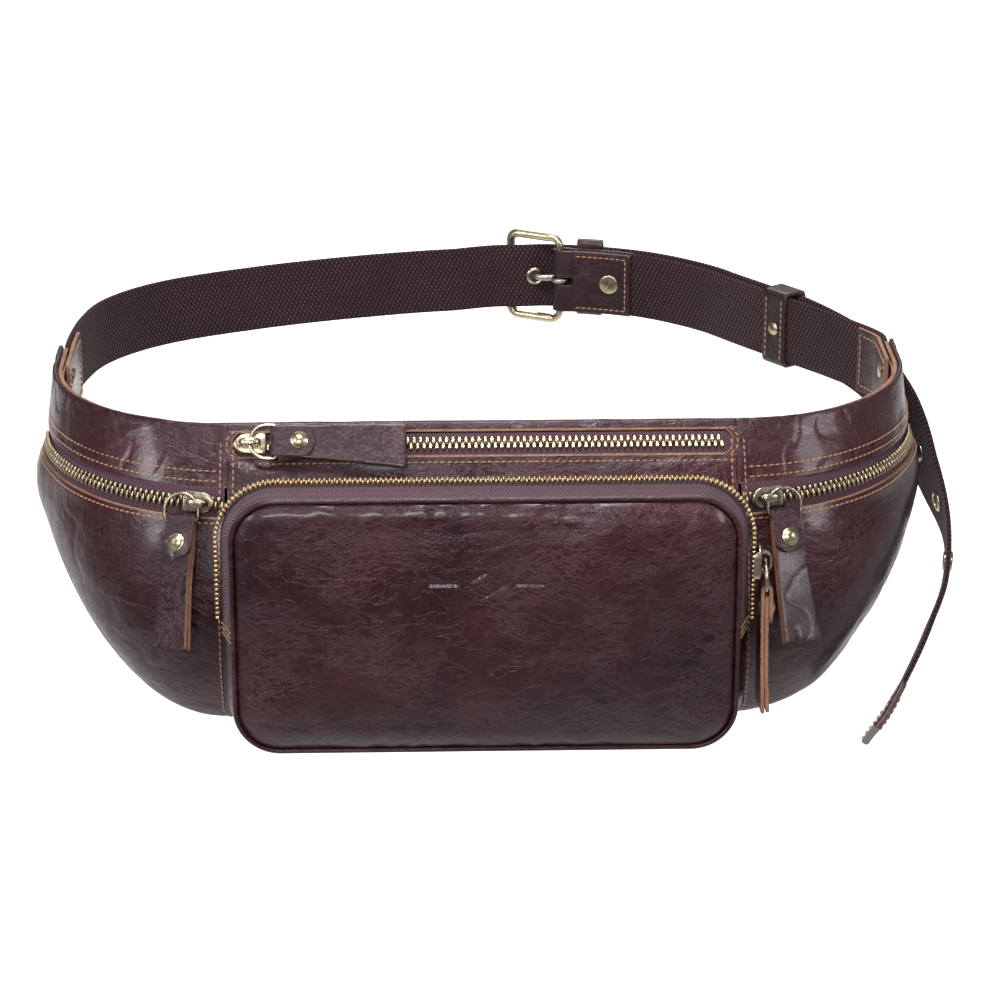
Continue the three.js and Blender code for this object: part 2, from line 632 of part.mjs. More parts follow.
// Bends a geometry drawn in (s, out, z) round the belt.
function bendToBelt(geometry) {
  const place = geometry.getAttribute("position");
  for (let i = 0; i < place.count; i++) {
    const p = onBelt(place.getX(i), place.getY(i), place.getZ(i));
    place.setXYZ(i, p.x, p.y, p.z);
  }
  return geometry;
}

// Where the heel bar of the buckle sits along the belt.
function stationAtX(x) {
  let best = 0;
  for (let s = BELT_LENGTH * 0.4; s < BELT_LENGTH * 0.95; s += 0.5) {
    if (Math.abs(onBelt(s, 0, 0).x - x) < Math.abs(onBelt(best, 0, 0).x - x)) best = s;
  }
  return best;
}
const HEEL = stationAtX(48);
const KEEPER = stationAtX(158);

// How far outside the belt line the long strap runs.
function longOffset(s) {
  return 5.2 * smooth((s - (HEEL - 62)) / 32) + (OVERLAP_OFFSET - 5.2) * smooth((s - (HEEL - 24)) / 18);
}

// The loose end of the long strap: it leaves the sliding keeper, passes outside the wing, hangs
// down past the base and twists until its edge faces forwards.
const tailLine = new THREE.CatmullRomCurve3(
  [
    onBelt(KEEPER - 2, OVERLAP_OFFSET, 0), onBelt(KEEPER + 14, OVERLAP_OFFSET, 0),
    vec(197, 147, 112), vec(213, 110, 98), vec(223, 83, 76), vec(229.5, 60, 55),
    vec(226.5, 40, 37), vec(216, 20, 19), vec(204, 4, 1), vec(193, -8, -13), vec(185, -15, -21),
  ],
  false,
  "centripetal",
);

function longStrapFrame(s) {
  const behind = onBelt(Math.max(s - 1, 0), longOffset(s - 1), 0);
  const t = onBelt(s + 1, longOffset(s + 1), 0).sub(behind).normalize();
  const across = vec(0, 0, 1);
  return { at: onBelt(s, longOffset(s), 0), across, up: t.cross(across).negate() };
}

function longStrapFrames() {
  const frames = [];
  const step = 9;
  const count = Math.round((KEEPER - 2) / step);
  for (let i = 0; i < count; i++) {
    const s = (i * (KEEPER - 2)) / count;
    frames.push(longStrapFrame(s));
  }
  const steps = 26;
  for (let i = 0; i <= steps; i++) frames.push(tailFrame(i / steps));
  return frames;
}

const TAIL_END_ACROSS = vec(-0.137, -0.916, 0.377);
function tailFrame(u) {
  const t = tailLine.getTangentAt(u);
  const twist = smooth((u - 0.35) / 0.4);
  const wide = vec(0, 0, 1).lerp(TAIL_END_ACROSS, twist);
  const across = wide.addScaledVector(t, -wide.dot(t)).normalize();
  return { at: tailLine.getPointAt(u), across, up: t.clone().cross(across).negate() };
}

const EYELET_RIM = 5;
const EYELET_HOLE = 3.2;
const EYELET_WALL = 0.7;
const EYELET_GAP = 0.9; // the webbing bends and twists under the flanges
const TAIL_EYELETS = [0.435, 0.535, 0.65];
const PRONG_EYELET = HEEL - 13.8;

function eyeletFrames() {
  return [longStrapFrame(PRONG_EYELET), ...TAIL_EYELETS.map(tailFrame)];
}

// A pressed brass eyelet: a short sleeve with a flange on each face of the webbing.
function eyeletGeometry(frame, hole) {
  const half = WEB_THICK / 2;
  const [flange, rise] = [EYELET_GAP, EYELET_GAP + 0.6];
  const sleeve = hole + EYELET_WALL;
  const ring = turned(
    [
      [hole, -half - rise], [EYELET_RIM, -half - flange - 0.2], [EYELET_RIM, -half - flange],
      [sleeve, -half - flange], [sleeve, half + flange], [EYELET_RIM, half + flange],
      [EYELET_RIM, half + flange + 0.2], [hole, half + rise], [hole, -half - rise],
    ],
    14,
  );
  ring.applyQuaternion(new THREE.Quaternion().setFromUnitVectors(vec(0, 1, 0), frame.up));
  return ring.translate(...frame.at.toArray());
}

function makeLongStrap() {
  const frames = longStrapFrames();
  const tipCount = 3;
  const web = ribbon(frames.slice(0, frames.length - tipCount + 1), WEB_WIDTH, WEB_THICK);
  const eyes = eyeletFrames();
  const holes = eyes.map((f) => drill(f.at, f.up, EYELET_HOLE + EYELET_WALL + GAP, 12));
  addPiece("belt_strap_long", cut(web, ...holes), "webbing");
  eyes.forEach((f, i) => addPiece(`eyelet_${i + 1}`, eyeletGeometry(f, EYELET_HOLE), "brass"));
  const tip = frames.slice(frames.length - tipCount).map((f) => ({ ...f }));
  tip[0].at = tip[0].at.clone().lerp(tip[1].at, 0.06);
  addPiece("strap_tip", ribbon(tip, WEB_WIDTH, WEB_THICK + 1.2), "leather");
}

function makeShortStrap() {
  const frames = [];
  const from = HEEL + 9;
  const steps = 22;
  for (let i = 0; i <= steps; i++) {
    const s = lerp(from, BELT_LENGTH, i / steps);
    const t = beltLine.getTangentAt(s / BELT_LENGTH);
    frames.push({ at: onBelt(s, 0, 0), across: vec(0, 0, 1), up: vec(-t.y, t.x, 0) });
  }
  const hole = drill(onBelt(HEEL + CHAPE_RIVET, 0, 0), frames[1].up, 1.9);
  addPiece("belt_strap_short", cut(ribbon(frames, WEB_WIDTH, WEB_THICK), hole), "webbing");
}

// Chape: leather folded round the heel bar and riveted through the short strap.
const CHAPE_LENGTH = 40;
const CHAPE_RIVET = 28;
const CHAPE_LEATHER = 2;
function makeChape() {
  const slot = WEB_THICK / 2 + GAP;
  const outer = slot + CHAPE_LEATHER;
  const eye = WIRE + 0.35;
  const shape = new THREE.Shape();
  // Straight edges are stepped, so that they can bend with the belt.
  const stations = Array.from({ length: 6 }, (_, i) => lerp(CHAPE_LENGTH, 8, i / 5));
  const edge = (list, out) => list.forEach((s) => shape.lineTo(s, out));
  shape.moveTo(CHAPE_LENGTH, slot);
  edge(stations, outer);
  shape.absarc(0, 0, eye + CHAPE_LEATHER, Math.PI * 0.4, Math.PI * 1.6, false);
  edge([...stations].reverse(), -outer);
  edge(stations, -slot);
  edge([...stations].reverse(), slot);
  const bore = new THREE.Path();
  bore.absarc(0, 0, eye, 0, Math.PI * 2, true);
  shape.holes.push(bore);
  const height = WEB_WIDTH - 1;
  const chape = new THREE.ExtrudeGeometry(shape, { depth: height, bevelEnabled: false, curveSegments: 10 });
  chape.translate(0, 0, -height / 2);
  const notch = new THREE.BoxGeometry(11, 14, 6).translate(-0.5, 0, 0);
  const hole = drill(vec(CHAPE_RIVET, 0, 0), vec(0, 1, 0), 1.9);
  const cutChape = cut(chape, notch, hole);
  addPiece("buckle_chape", bendToBelt(cutChape.translate(HEEL, 0, 0)), "leather");
  const cap = rivet(-outer, outer, 5, 1.3, 1.5).rotateX(Math.PI / 2).translate(CHAPE_RIVET, 0, 0);
  const seat = beltFrame(HEEL + CHAPE_RIVET).multiply(new THREE.Matrix4().makeTranslation(-CHAPE_RIVET, 0, 0));
  addPiece("chape_rivet", cap.applyMatrix4(seat), "brass");
}

// Buckle: a rectangular wire frame hinged on its heel bar, and the prong hinged on the same bar.
const FAR_BAR_OUT = 9.4;
function makeBuckle() {
  const buckle = new THREE.Group();
  buckle.applyMatrix4(beltFrame(HEEL));
  const slope = Math.atan2(FAR_BAR_OUT, BUCKLE_REACH);
  const reach = Math.hypot(FAR_BAR_OUT, BUCKLE_REACH);
  const path = new THREE.Path();
  const r = 4;
  path.moveTo(0, -BUCKLE_HALF + r);
  path.lineTo(0, BUCKLE_HALF - r);
  path.absarc(-r, BUCKLE_HALF - r, r, 0, Math.PI / 2, false);
  path.lineTo(r - reach, BUCKLE_HALF);
  path.absarc(r - reach, BUCKLE_HALF - r, r, Math.PI / 2, Math.PI, false);
  path.lineTo(-reach, r - BUCKLE_HALF);
  path.absarc(r - reach, r - BUCKLE_HALF, r, Math.PI, Math.PI * 1.5, false);
  path.lineTo(-r, -BUCKLE_HALF);
  path.absarc(-r, r - BUCKLE_HALF, r, -Math.PI / 2, 0, false);
  const points = path.getSpacedPoints(56).slice(0, 56);
  const centres = points.map((p) => vec(p.x * Math.cos(slope), -p.x * Math.sin(slope), p.y));
  const normal = vec(Math.sin(slope), Math.cos(slope), 0);
  addPiece("buckle_frame", wireLoop(centres, WIRE, normal, 8), "brass", buckle);

  const prongLine = new THREE.CatmullRomCurve3(
    [
      vec(-3.6, 0, 0), vec(-9.5, 0.6, 0), vec(-13.6, 3.4, 0), vec(-15.2, 7.6, 0),
      vec(-19, 11.6, 0), vec(-26, 13.4, 0), vec(-33, 12.8, 0),
    ],
  );
  const round = new THREE.Shape();
  round.absarc(0, 0, 1.4, 0, Math.PI * 2, false);
  const prong = new THREE.ExtrudeGeometry(round, { extrudePath: prongLine, steps: 16, curveSegments: 4 });
  const eye = new THREE.TorusGeometry(WIRE + 0.4 + 1.3, 1.3, 8, 18);
  addPiece("buckle_prong", joined(prong, eye), "brass", buckle);
  pack.add(buckle);
}

// A leather loop round the straps: a frame drawn as (out, z) and swept along the belt.
function loopGeometry(s, width, inner, outer, halfInner, halfOuter) {
  const shape = new THREE.Shape();
  shape.moveTo(inner[0], -halfOuter);
  shape.lineTo(outer[1], -halfOuter);
  shape.lineTo(outer[1], halfOuter);
  shape.lineTo(inner[0], halfOuter);
  shape.closePath();
  const hole = new THREE.Path();
  hole.moveTo(inner[1], -halfInner);
  hole.lineTo(inner[1], halfInner);
  hole.lineTo(outer[0], halfInner);
  hole.lineTo(outer[0], -halfInner);
  hole.closePath();
  shape.holes.push(hole);
  const loop = new THREE.ExtrudeGeometry(shape, { depth: width, steps: 2, bevelEnabled: false });
  // Drawn as (out, z, s); turned into (s, out, z).
  loop.applyMatrix4(new THREE.Matrix4().makeBasis(vec(0, 1, 0), vec(0, 0, 1), vec(1, 0, 0)));
  return bendToBelt(loop.translate(s - width / 2, 0, 0));
}

function makeKeepers() {
  const web = WEB_THICK / 2;
  const half = WEB_WIDTH / 2;
  const longOut = OVERLAP_OFFSET + web + 0.4;
  const chapeOut = web + GAP + CHAPE_LEATHER;
  const fixedInner = [chapeOut + GAP + 0.1, OVERLAP_OFFSET - web - GAP];
  const fixed = loopGeometry(HEEL + 15, 10, fixedInner, [longOut, longOut + 1.8], half + 0.6, half + 3);
  addPiece("keeper_fixed", fixed, "leather");
  const slidingInner = [-web - 2.6, -web - 0.5];
  const sliding = loopGeometry(KEEPER, 16, slidingInner, [longOut, longOut + 2.1], half + 0.5, half + 2.8);
  addPiece("keeper_sliding", sliding, "leather");
  const dome = turned([[0, 0], [3.4, 0], [3.1, 0.8], [2, 1.3], [0, 1.5]], 14);
  const cap = dome.rotateX(Math.PI).translate(0, slidingInner[0] - GAP, 0);
  addPiece("keeper_rivet", cap.applyMatrix4(beltFrame(KEEPER)), "brass");
}

// Leather tabs that cover the joint of wing and belt on the wearer's side, each with a rivet.
function makeEndTab(side, name) {
  const half = WEB_WIDTH / 2 - 1;
  const reach = 26;
  const inside = WEB_THICK / 2 + 0.5;
  const thick = 2;
  const station = (i) => lerp(-reach, reach, i / 8);
  const place = (out) => (i, j) => {
    const s = station(i);
    const z = (j * 2 - 1) * half;
    if (s < 0) return vec(side * (START + out), WING_TIP + s, WEB_MID + z);
    return onBelt(side < 0 ? s : BELT_LENGTH - s, out, z);
  };
  const plate = sheet(8, 1, place(-inside), place(-inside - thick));
  addPiece(`${name}_end_tab`, plate, "leather");
  const cap = turned([[0, 0], [4, 0], [3.7, 0.9], [2.4, 1.4], [0, 1.6]], 14);
  cap.rotateZ((side * Math.PI) / 2);
  cap.translate(side * (START - inside - thick - GAP), WING_TIP - 12, WEB_MID + 6);
  addPiece(`${name}_end_rivet`, cap, "brass");
}

makeBackPanel();
makeMiddle();
makeMainZip();
for (const [side, name] of [[-1, "left"], [1, "right"]]) {
  makeWing(side, name);
  makeDivider(side, name);
  makeWingZip(side, name);
  makeEndTab(side, name);
}
makePocket();
makeLongStrap();
makeShortStrap();
makeChape();
makeBuckle();
makeKeepers();

export default pack;
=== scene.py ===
"""The looks of a leather waist pack with a webbing belt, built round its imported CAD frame.

Shapes are worked out in millimetres with z = 0 at the pack's base, as the CAD draws them, and
turned into metres in the row frame when a piece is made. +X is along the pack, -Y its front.
"""
import math

import bpy
import numpy as np
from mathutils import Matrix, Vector


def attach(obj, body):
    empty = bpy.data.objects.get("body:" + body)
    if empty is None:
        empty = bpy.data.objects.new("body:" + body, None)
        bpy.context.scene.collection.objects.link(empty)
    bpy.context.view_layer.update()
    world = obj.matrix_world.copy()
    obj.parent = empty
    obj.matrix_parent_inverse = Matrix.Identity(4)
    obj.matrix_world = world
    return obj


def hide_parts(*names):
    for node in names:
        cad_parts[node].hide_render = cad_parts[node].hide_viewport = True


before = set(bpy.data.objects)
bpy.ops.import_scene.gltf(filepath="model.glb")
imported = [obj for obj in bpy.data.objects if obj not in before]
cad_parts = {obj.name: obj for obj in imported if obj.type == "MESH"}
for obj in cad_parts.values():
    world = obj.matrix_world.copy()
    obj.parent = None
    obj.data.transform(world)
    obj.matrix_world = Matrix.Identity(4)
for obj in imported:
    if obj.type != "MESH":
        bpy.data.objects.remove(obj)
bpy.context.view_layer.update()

# ---------- driving dimensions, in millimetres ----------
HEIGHT = 136
HALF_FLAT = 118
WING_RADIUS = 84
WING_STRAIGHT = 28
RIM_DEPTH = 5
END_DEPTH = 5.2
BELLY = 2
SIDE_BELLY = 5
SIDE_FROM = 1.0
WING_BASE_CURVE = 1.75
WING_BASE = 66
WING_TIP_RISE = 28
LEATHER = 2.2
GAP = 0.3
DEEPEST = 0.66
UNDER = 1.25
WING_END = HALF_FLAT + WING_RADIUS * math.pi / 2 + WING_STRAIGHT

WING_ZIP_Z = 105
WING_ZIP_HALF = 6
ZIP_SHIFT = 9
ZIP_RADIUS = 100.6
ZIP_TILT = math.radians(16)
TAPE_THICK = 0.8
CHAIN_THICK = 2.2
TAPE_LIFT = -LEATHER / 2 - 0.3
CHAIN_LIFT = TAPE_LIFT + TAPE_THICK / 2 + GAP + CHAIN_THICK / 2
SLIDER_LIFT = CHAIN_LIFT + CHAIN_THICK / 2 + GAP
MAIN_ZIP_V = 0.058
MAIN_BAND_V = 0.024
MAIN_LOWER_V = 0.092
TOOTH_PITCH = 3.0
FINE_PITCH = 2.3

POCKET_HALF = 114
POCKET_LOW = 1
POCKET_HIGH = 123
POCKET_CORNER = 20
POCKET_FRONT = 71
POCKET_DOME = 6
POCKET_ZIP_BACK = 11
POCKET_GROW = 7
POCKET_SLIDER_Z = 88
ZIP_FROM = 0.245
ZIP_SHARE = 1 - 2 * ZIP_FROM

WEB_WIDTH = 35
WEB_THICK = 2.6
WIRE = 2
BUCKLE_REACH = 28
BUCKLE_HALF = 23
FAR_BAR_OUT = 9.4
OVERLAP_OFFSET = 7.2
WEB_MID = HEIGHT - WEB_WIDTH / 2

PLATE = 1.6
ARCH_HOLE = 3.8
RING_RADIUS = 8
RING_LEG = 4
RING_WIRE = 0.9
RING_LIFT = PLATE + ARCH_HOLE / 2
SIDE_GRIP = math.pi / 6
TAB_LENGTH = 60
TAB_TOP = 13.4
TAB_BOTTOM = 20
TAB_BACK = 2.2
TAB_FRONT = 3.15
TAB_BODY = 1.4
TAB_FLAP = 18
TAB_RIVET = 11

STITCH_PITCH = 3.1
STITCH_LENGTH = 2.5
THREAD = 0.36
EDGE_ROUND = 0.35
RAW_STRIP = 0.8


# ---------- numbers ----------
def smooth(x):
    x = np.clip(x, 0, 1)
    return x * x * (3 - 2 * x)


def lerp(a, b, t):
    return a + (b - a) * t


def unit(v):
    return v / np.maximum(np.linalg.norm(v, axis=-1, keepdims=True), 1e-9)


def vec(*xyz):
    return np.array(xyz, float)


def lattice(cell, seed):
    """A fixed value from 0 to 1 for each whole-numbered cell."""
    mixed = cell[..., 0] * 374761393 + cell[..., 1] * 668265263
    mixed = mixed + cell[..., 2] * 2147483647 + seed * 1274126177
    mixed = (mixed ^ (mixed >> 13)) * 1103515245
    return ((mixed ^ (mixed >> 16)) & 0xFFFF) / 65535.0


def noise(points, size, seed=0):
    """Smooth noise from -1 to 1 whose bumps are about size millimetres apart."""
    p = np.asarray(points, float) / size
    base = np.floor(p).astype(np.int64)
    f = p - base
    f = f * f * (3 - 2 * f)
    total = 0
    for corner in range(8):
        step = np.array([corner & 1, corner >> 1 & 1, corner >> 2 & 1])
        share = np.prod(np.where(step, f, 1 - f), axis=-1)
        total = total + share * lattice(base + step, seed)
    return 2 * total - 1


def creases(points, size, seed=0):
    """Narrow folds, 1 along each fold and 0 between them."""
    bent = points + size * 0.5 * np.stack([noise(points, size * 1.3, seed + k) for k in (11, 12, 13)], -1)
    return np.clip(1 - np.abs(noise(bent, size, seed)) * 5, 0, 1) ** 2


# ---------- meshes ----------
def grid_faces(index):
    a, b = index[:-1, :-1], index[1:, :-1]
    c, d = index[1:, 1:], index[:-1, 1:]
    return np.stack([a, b, c, d], -1).reshape(-1, 4)


def arc_lengths(points, axis):
    steps = np.linalg.norm(np.diff(points, axis=axis), axis=-1)
    return np.concatenate([np.zeros_like(np.take(steps, [0], axis)), np.cumsum(steps, axis)], axis)


def grid_map(points):
    """Texture coordinates of a grid in metres along its surface."""
    return np.stack([arc_lengths(points, 0), arc_lengths(points, 1)], -1) / 1000


def slab(outer, inner, looped=False):
    """A sheet with thickness between two matching grids of points."""
    rows, cols = outer.shape[:2]
    front = np.arange(rows * cols).reshape(rows, cols)
    if looped:
        front = np.vstack([front, front[:1]])
        flat = grid_map(np.concatenate([outer, outer[:1]]))
    else:
        flat = grid_map(outer)
    back = front + rows * cols
    sides = [(front[:, 0], back[:, 0], flat[:, 0]), (back[:, -1], front[:, -1], flat[:, -1])]
    if not looped:
        sides += [(back[0], front[0], flat[0]), (front[-1], back[-1], flat[-1])]
    faces = [grid_faces(front), grid_faces(back)[:, ::-1]]
    maps = [flat[..., k] for k in (0, 1)]
    spread = [np.stack([grid_faces(m) for m in maps], -1)]
    spread.append(spread[0][:, ::-1])
    for near, far, line in sides:
        faces.append(np.stack([near[:-1], far[:-1], far[1:], near[1:]], -1))
        spread.append(np.stack([line[:-1], line[:-1] + 0.001, line[1:] + 0.001, line[1:]], 1))
    tags = np.concatenate([np.full(len(f), min(k, 2)) for k, f in enumerate(faces)])
    points = np.concatenate([outer.reshape(-1, 3), inner.reshape(-1, 3)])
    return points, np.concatenate(faces), np.concatenate(spread), tags


def tube(centres, radius, sides=12, closed=False, flat=1.0, normal=None):
    """A round or flattened wire along a line of points; open ends are closed flat."""
    centres = np.asarray(centres, float)
    count = len(centres)
    if closed:
        along = unit(np.roll(centres, -1, 0) - np.roll(centres, 1, 0))
    else:
        along = unit(np.gradient(centres, axis=0))
    if normal is None:
        normal = vec(0, 0, 1) if abs(along[0][2]) < 0.9 else vec(1, 0, 0)
    up = unit(normal - along * (along @ normal)[:, None] if np.ndim(normal) == 1 else normal)
    out = np.cross(along, up)
    turn = np.linspace(0, 2 * math.pi, sides, endpoint=False)
    radius = np.broadcast_to(radius, count)
    ring = out[:, None] * np.cos(turn)[:, None] * flat + up[:, None] * np.sin(turn)[:, None]
    points = centres[:, None] + ring * radius[:, None, None]
    index = np.arange(count * sides).reshape(count, sides)
    index = np.hstack([index, index[:, :1]])
    wrapped = np.concatenate([points, points[:, :1]], 1)
    if closed:
        index = np.vstack([index, index[:1]])
        wrapped = np.concatenate([wrapped, wrapped[:1]])
    faces = grid_faces(index)
    flatmap = grid_map(wrapped)
    spread = np.stack([grid_faces(flatmap[..., k]) for k in (0, 1)], -1)
    if not closed:
        ends = [index[0, :-1][::-1], index[-1, :-1]]
        return points.reshape(-1, 3), faces, spread, np.zeros(len(faces), int), ends
    return points.reshape(-1, 3), faces, spread, np.zeros(len(faces), int)


def scatter(template, faces, bases, places):
    """Many copies of one small closed shape: bases are 3x3 arrays whose rows are its axes."""
    points = np.einsum("pk,nkx->npx", template, bases) + places[:, None]
    shift = np.arange(len(places))[:, None, None] * len(template)
    all_faces = (faces[None] + shift).reshape(-1, faces.shape[1])
    spread = np.zeros((len(all_faces), faces.shape[1], 2))
    return points.reshape(-1, 3), all_faces, spread, np.zeros(len(all_faces), int)


def signed_volume(points, faces):
    a, b, c, d = (points[faces[:, k]] for k in range(4))
    return np.einsum("ij,ij->", a, np.cross(b, c)) + np.einsum("ij,ij->", a, np.cross(c, d))


def make_piece(name, parts, materials, body="pack_body", stands_for=(), edge=0, creased=40):
    """One object from one or more (points, faces, texture map, tags, end caps) parts."""
    points, polygons, corners, tags, start = [], [], [], [], 0
    for part in parts if isinstance(parts, list) else [parts]:
        p, faces, spread, tag = part[:4]
        turned = signed_volume(p, faces) < 0
        if turned:
            faces, spread = faces[:, ::-1], spread[:, ::-1]
        polygons += (faces + start).tolist()
        corners.append(spread.reshape(-1, 2))
        tags.append(tag)
        for cap in part[4] if len(part) > 4 else ():
            polygons.append([int(i) + start for i in (cap[::-1] if turned else cap)])
            corners.append(np.zeros((len(cap), 2)))
            tags.append(np.zeros(1, int))
        points.append(p)
        start += len(p)
    placed = (np.concatenate(points) - (0, 0, HEIGHT / 2)) / 1000
    mesh = bpy.data.meshes.new(name)
    mesh.from_pydata(placed.tolist(), [], polygons)
    layer = mesh.uv_layers.new(name="UVMap")
    layer.data.foreach_set("uv", np.concatenate(corners).astype(np.float32).ravel())
    for material in materials:
        mesh.materials.append(material)
    which = np.minimum(np.concatenate(tags), len(materials) - 1).astype(np.int32)
    mesh.polygons.foreach_set("material_index", which)
    mesh.polygons.foreach_set("use_smooth", np.ones(len(which), bool))
    mesh.validate()
    piece = bpy.data.objects.new(name, mesh)
    bpy.context.scene.collection.objects.link(piece)
    if edge:
        bevel = piece.modifiers.new("rounded edges", "BEVEL")
        bevel.width = edge / 1000
        bevel.segments = 2
        bevel.limit_method = "ANGLE"
        bevel.angle_limit = math.radians(50)
    elif creased:
        mesh.set_sharp_from_angle(angle=math.radians(creased))
    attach(piece, body)
    if stands_for:
        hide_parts(*stands_for)
    return piece


# ---------- materials ----------
class Nodes:
    """Short calls for making a material's node tree."""

    def __init__(self, name):
        self.material = bpy.data.materials.new(name)
        self.material.use_nodes = True
        self.tree = self.material.node_tree
        self.tree.nodes.clear()
        self.out = self.add("ShaderNodeOutputMaterial")
        self.shader = self.add("ShaderNodeBsdfPrincipled")
        self.tree.links.new(self.shader.outputs[0], self.out.inputs[0])

    def add(self, kind, inputs=None, **settings):
        made = self.tree.nodes.new(kind)
        for key, value in settings.items():
            setattr(made, key, value)
        for key, value in (inputs or {}).items():
            self.set(made.inputs[key], value)
        return made

    def set(self, socket, value):
        if isinstance(value, bpy.types.NodeSocket):
            self.tree.links.new(value, socket)
        else:
            socket.default_value = value

    def place(self, source="Object"):
        return self.add("ShaderNodeTexCoord").outputs[source]

    def stretch(self, vector, scale, turn=(0, 0, 0)):
        return self.add("ShaderNodeMapping", {"Vector": vector, "Scale": scale, "Rotation": turn}).outputs[0]

    def noise(self, vector, size, detail=3, rough=0.55, warp=0):
        inputs = {"Vector": vector, "Scale": 1000 / size, "Detail": detail, "Roughness": rough,
                  "Distortion": warp}
        return self.add("ShaderNodeTexNoise", inputs).outputs["Fac"]

    def cells(self, vector, size):
        inputs = {"Vector": vector, "Scale": 1000 / size, "Randomness": 1.0}
        return self.add("ShaderNodeTexVoronoi", inputs, feature="F1").outputs["Distance"]

    def ridge(self, vector, size, width, detail=3, warp=0.8):
        """1 on long wandering lines, where a noise passes its middle value, and 0 away from them."""
        away = self.math("ABSOLUTE", self.math("SUBTRACT", self.noise(vector, size, detail, 0.55, warp), 0.5))
        return self.ramp(away, 0.0, width, 1.0, 0.0)

    def math(self, operation, a, b=0.0, c=0.0):
        made = self.add("ShaderNodeMath", operation=operation)
        for socket, value in zip(made.inputs, (a, b, c)):
            self.set(socket, value)
        return made.outputs[0]

    def ramp(self, value, low, high, to_low=0.0, to_high=1.0, kind="SMOOTHSTEP"):
        inputs = {"Value": value, "From Min": low, "From Max": high, "To Min": to_low, "To Max": to_high}
        return self.add("ShaderNodeMapRange", inputs, interpolation_type=kind).outputs[0]

    def mix(self, share, a, b, blend="MIX"):
        made = self.add("ShaderNodeMix", data_type="RGBA", blend_type=blend)
        colours = [i for i in made.inputs if i.type == "RGBA"]
        self.set(made.inputs[0], share)
        self.set(colours[0], a if isinstance(a, bpy.types.NodeSocket) else (*a, 1))
        self.set(colours[1], b if isinstance(b, bpy.types.NodeSocket) else (*b, 1))
        return [o for o in made.outputs if o.type == "RGBA"][0]

    def vector_math(self, operation, inputs):
        return self.add("ShaderNodeVectorMath", inputs, operation=operation).outputs[0]

    def warp(self, vector, size, amount):
        """The vector pushed about by noise; amount is in millimetres."""
        inputs = {"Vector": vector, "Scale": 1000 / size, "Detail": 2}
        colour = self.add("ShaderNodeTexNoise", inputs).outputs["Color"]
        centred = self.vector_math("SUBTRACT", {0: colour, 1: (0.5, 0.5, 0.5)})
        shift = self.vector_math("SCALE", {0: centred, "Scale": amount / 1000})
        return self.vector_math("ADD", {0: vector, 1: shift})

    def bump(self, height, depth, before=None):
        """Relief whose height of 1 stands depth millimetres proud."""
        inputs = {"Height": height, "Distance": depth / 1000, "Strength": 1.0}
        made = self.add("ShaderNodeBump", inputs)
        if before is not None:
            self.set(made.inputs["Normal"], before)
        return made.outputs[0]

    def finish(self, **sockets):
        for key, value in sockets.items():
            socket = "Specular IOR Level" if key == "Specular" else key.replace("_", " ")
            self.set(self.shader.inputs[socket], value)
        return self.material


def leather_material(name, dark, mid, shine, worn, crease_wear_and_highlight):
    """Oil-waxed leather: fine pores, a net of creases and rubbed patches that shine."""
    n = Nodes(name)
    here = n.place()
    bent = n.warp(here, 45, 26)
    pores = n.cells(n.warp(here, 3, 0.8), 0.95)
    pebble = n.noise(here, 1.7, 4, 0.6)
    steep = n.ridge(n.stretch(bent, (0.5, 1, 1.6), (0, 0.8, 0)), 3.2, 0.06, 3, 0.3)
    flat = n.ridge(n.stretch(bent, (0.5, 1, 1.6), (0, -0.5, 0)), 3.6, 0.06, 3, 0.3)
    side = n.ramp(n.noise(here, 60, 2), 0.44, 0.56)
    other = n.math("SUBTRACT", 1.0, side)
    fine = n.math("ADD", n.math("MULTIPLY", steep, side), n.math("MULTIPLY", flat, other))
    crossing = n.ridge(n.stretch(bent, (0.7, 1, 1.3), (0, -0.9, 0)), 6.5, 0.03, 3, 0.5)
    long = n.ridge(n.stretch(n.warp(here, 30, 12), (0.6, 1, 1.3), (0, 0.4, 0)), 22, 0.016, 4, 0.5)
    where = n.ramp(n.noise(here, 42, 3), 0.40, 0.62)
    folds = n.math("MULTIPLY", n.math("MAXIMUM", fine, crossing), n.ramp(where, 0, 1, 0.25, 0.9))
    lines = n.math("MAXIMUM", folds, n.math("MULTIPLY", long, 0.8))
    patches = n.noise(here, 90, 2, 0.5, 0.3)
    tone = n.mix(n.ramp(patches, 0.3, 0.72), dark, mid)
    mottle = n.mix(n.ramp(n.noise(here, 14, 3), 0.4, 0.75, 0.0, 0.2), tone, worn)
    # Creases lightened towards the worn colour: partly real wear, partly a painted highlight on the raised
    # folds.
    colour = n.mix(n.math("MULTIPLY", lines, crease_wear_and_highlight), mottle, worn)
    rough = n.ramp(n.noise(here, 34, 3), 0.3, 0.75, shine - 0.05, shine + 0.11)
    rough = n.math("ADD", rough, n.math("MULTIPLY", lines, 0.12))
    relief = n.bump(pores, 0.05)
    relief = n.bump(pebble, 0.16, relief)
    relief = n.bump(n.math("SUBTRACT", 1.0, lines), 0.16, relief)
    relief = n.bump(n.noise(n.stretch(bent, (0.7, 1, 1.4), (0, 0.5, 0)), 9, 2, 0.45, 0.4), 0.8, relief)
    return n.finish(Base_Color=colour, Roughness=rough, Normal=relief, Coat_Weight=0.14, Coat_Roughness=0.18,
                    Specular=0.26, Specular_Tint=(0.98, 0.85, 0.95, 1))


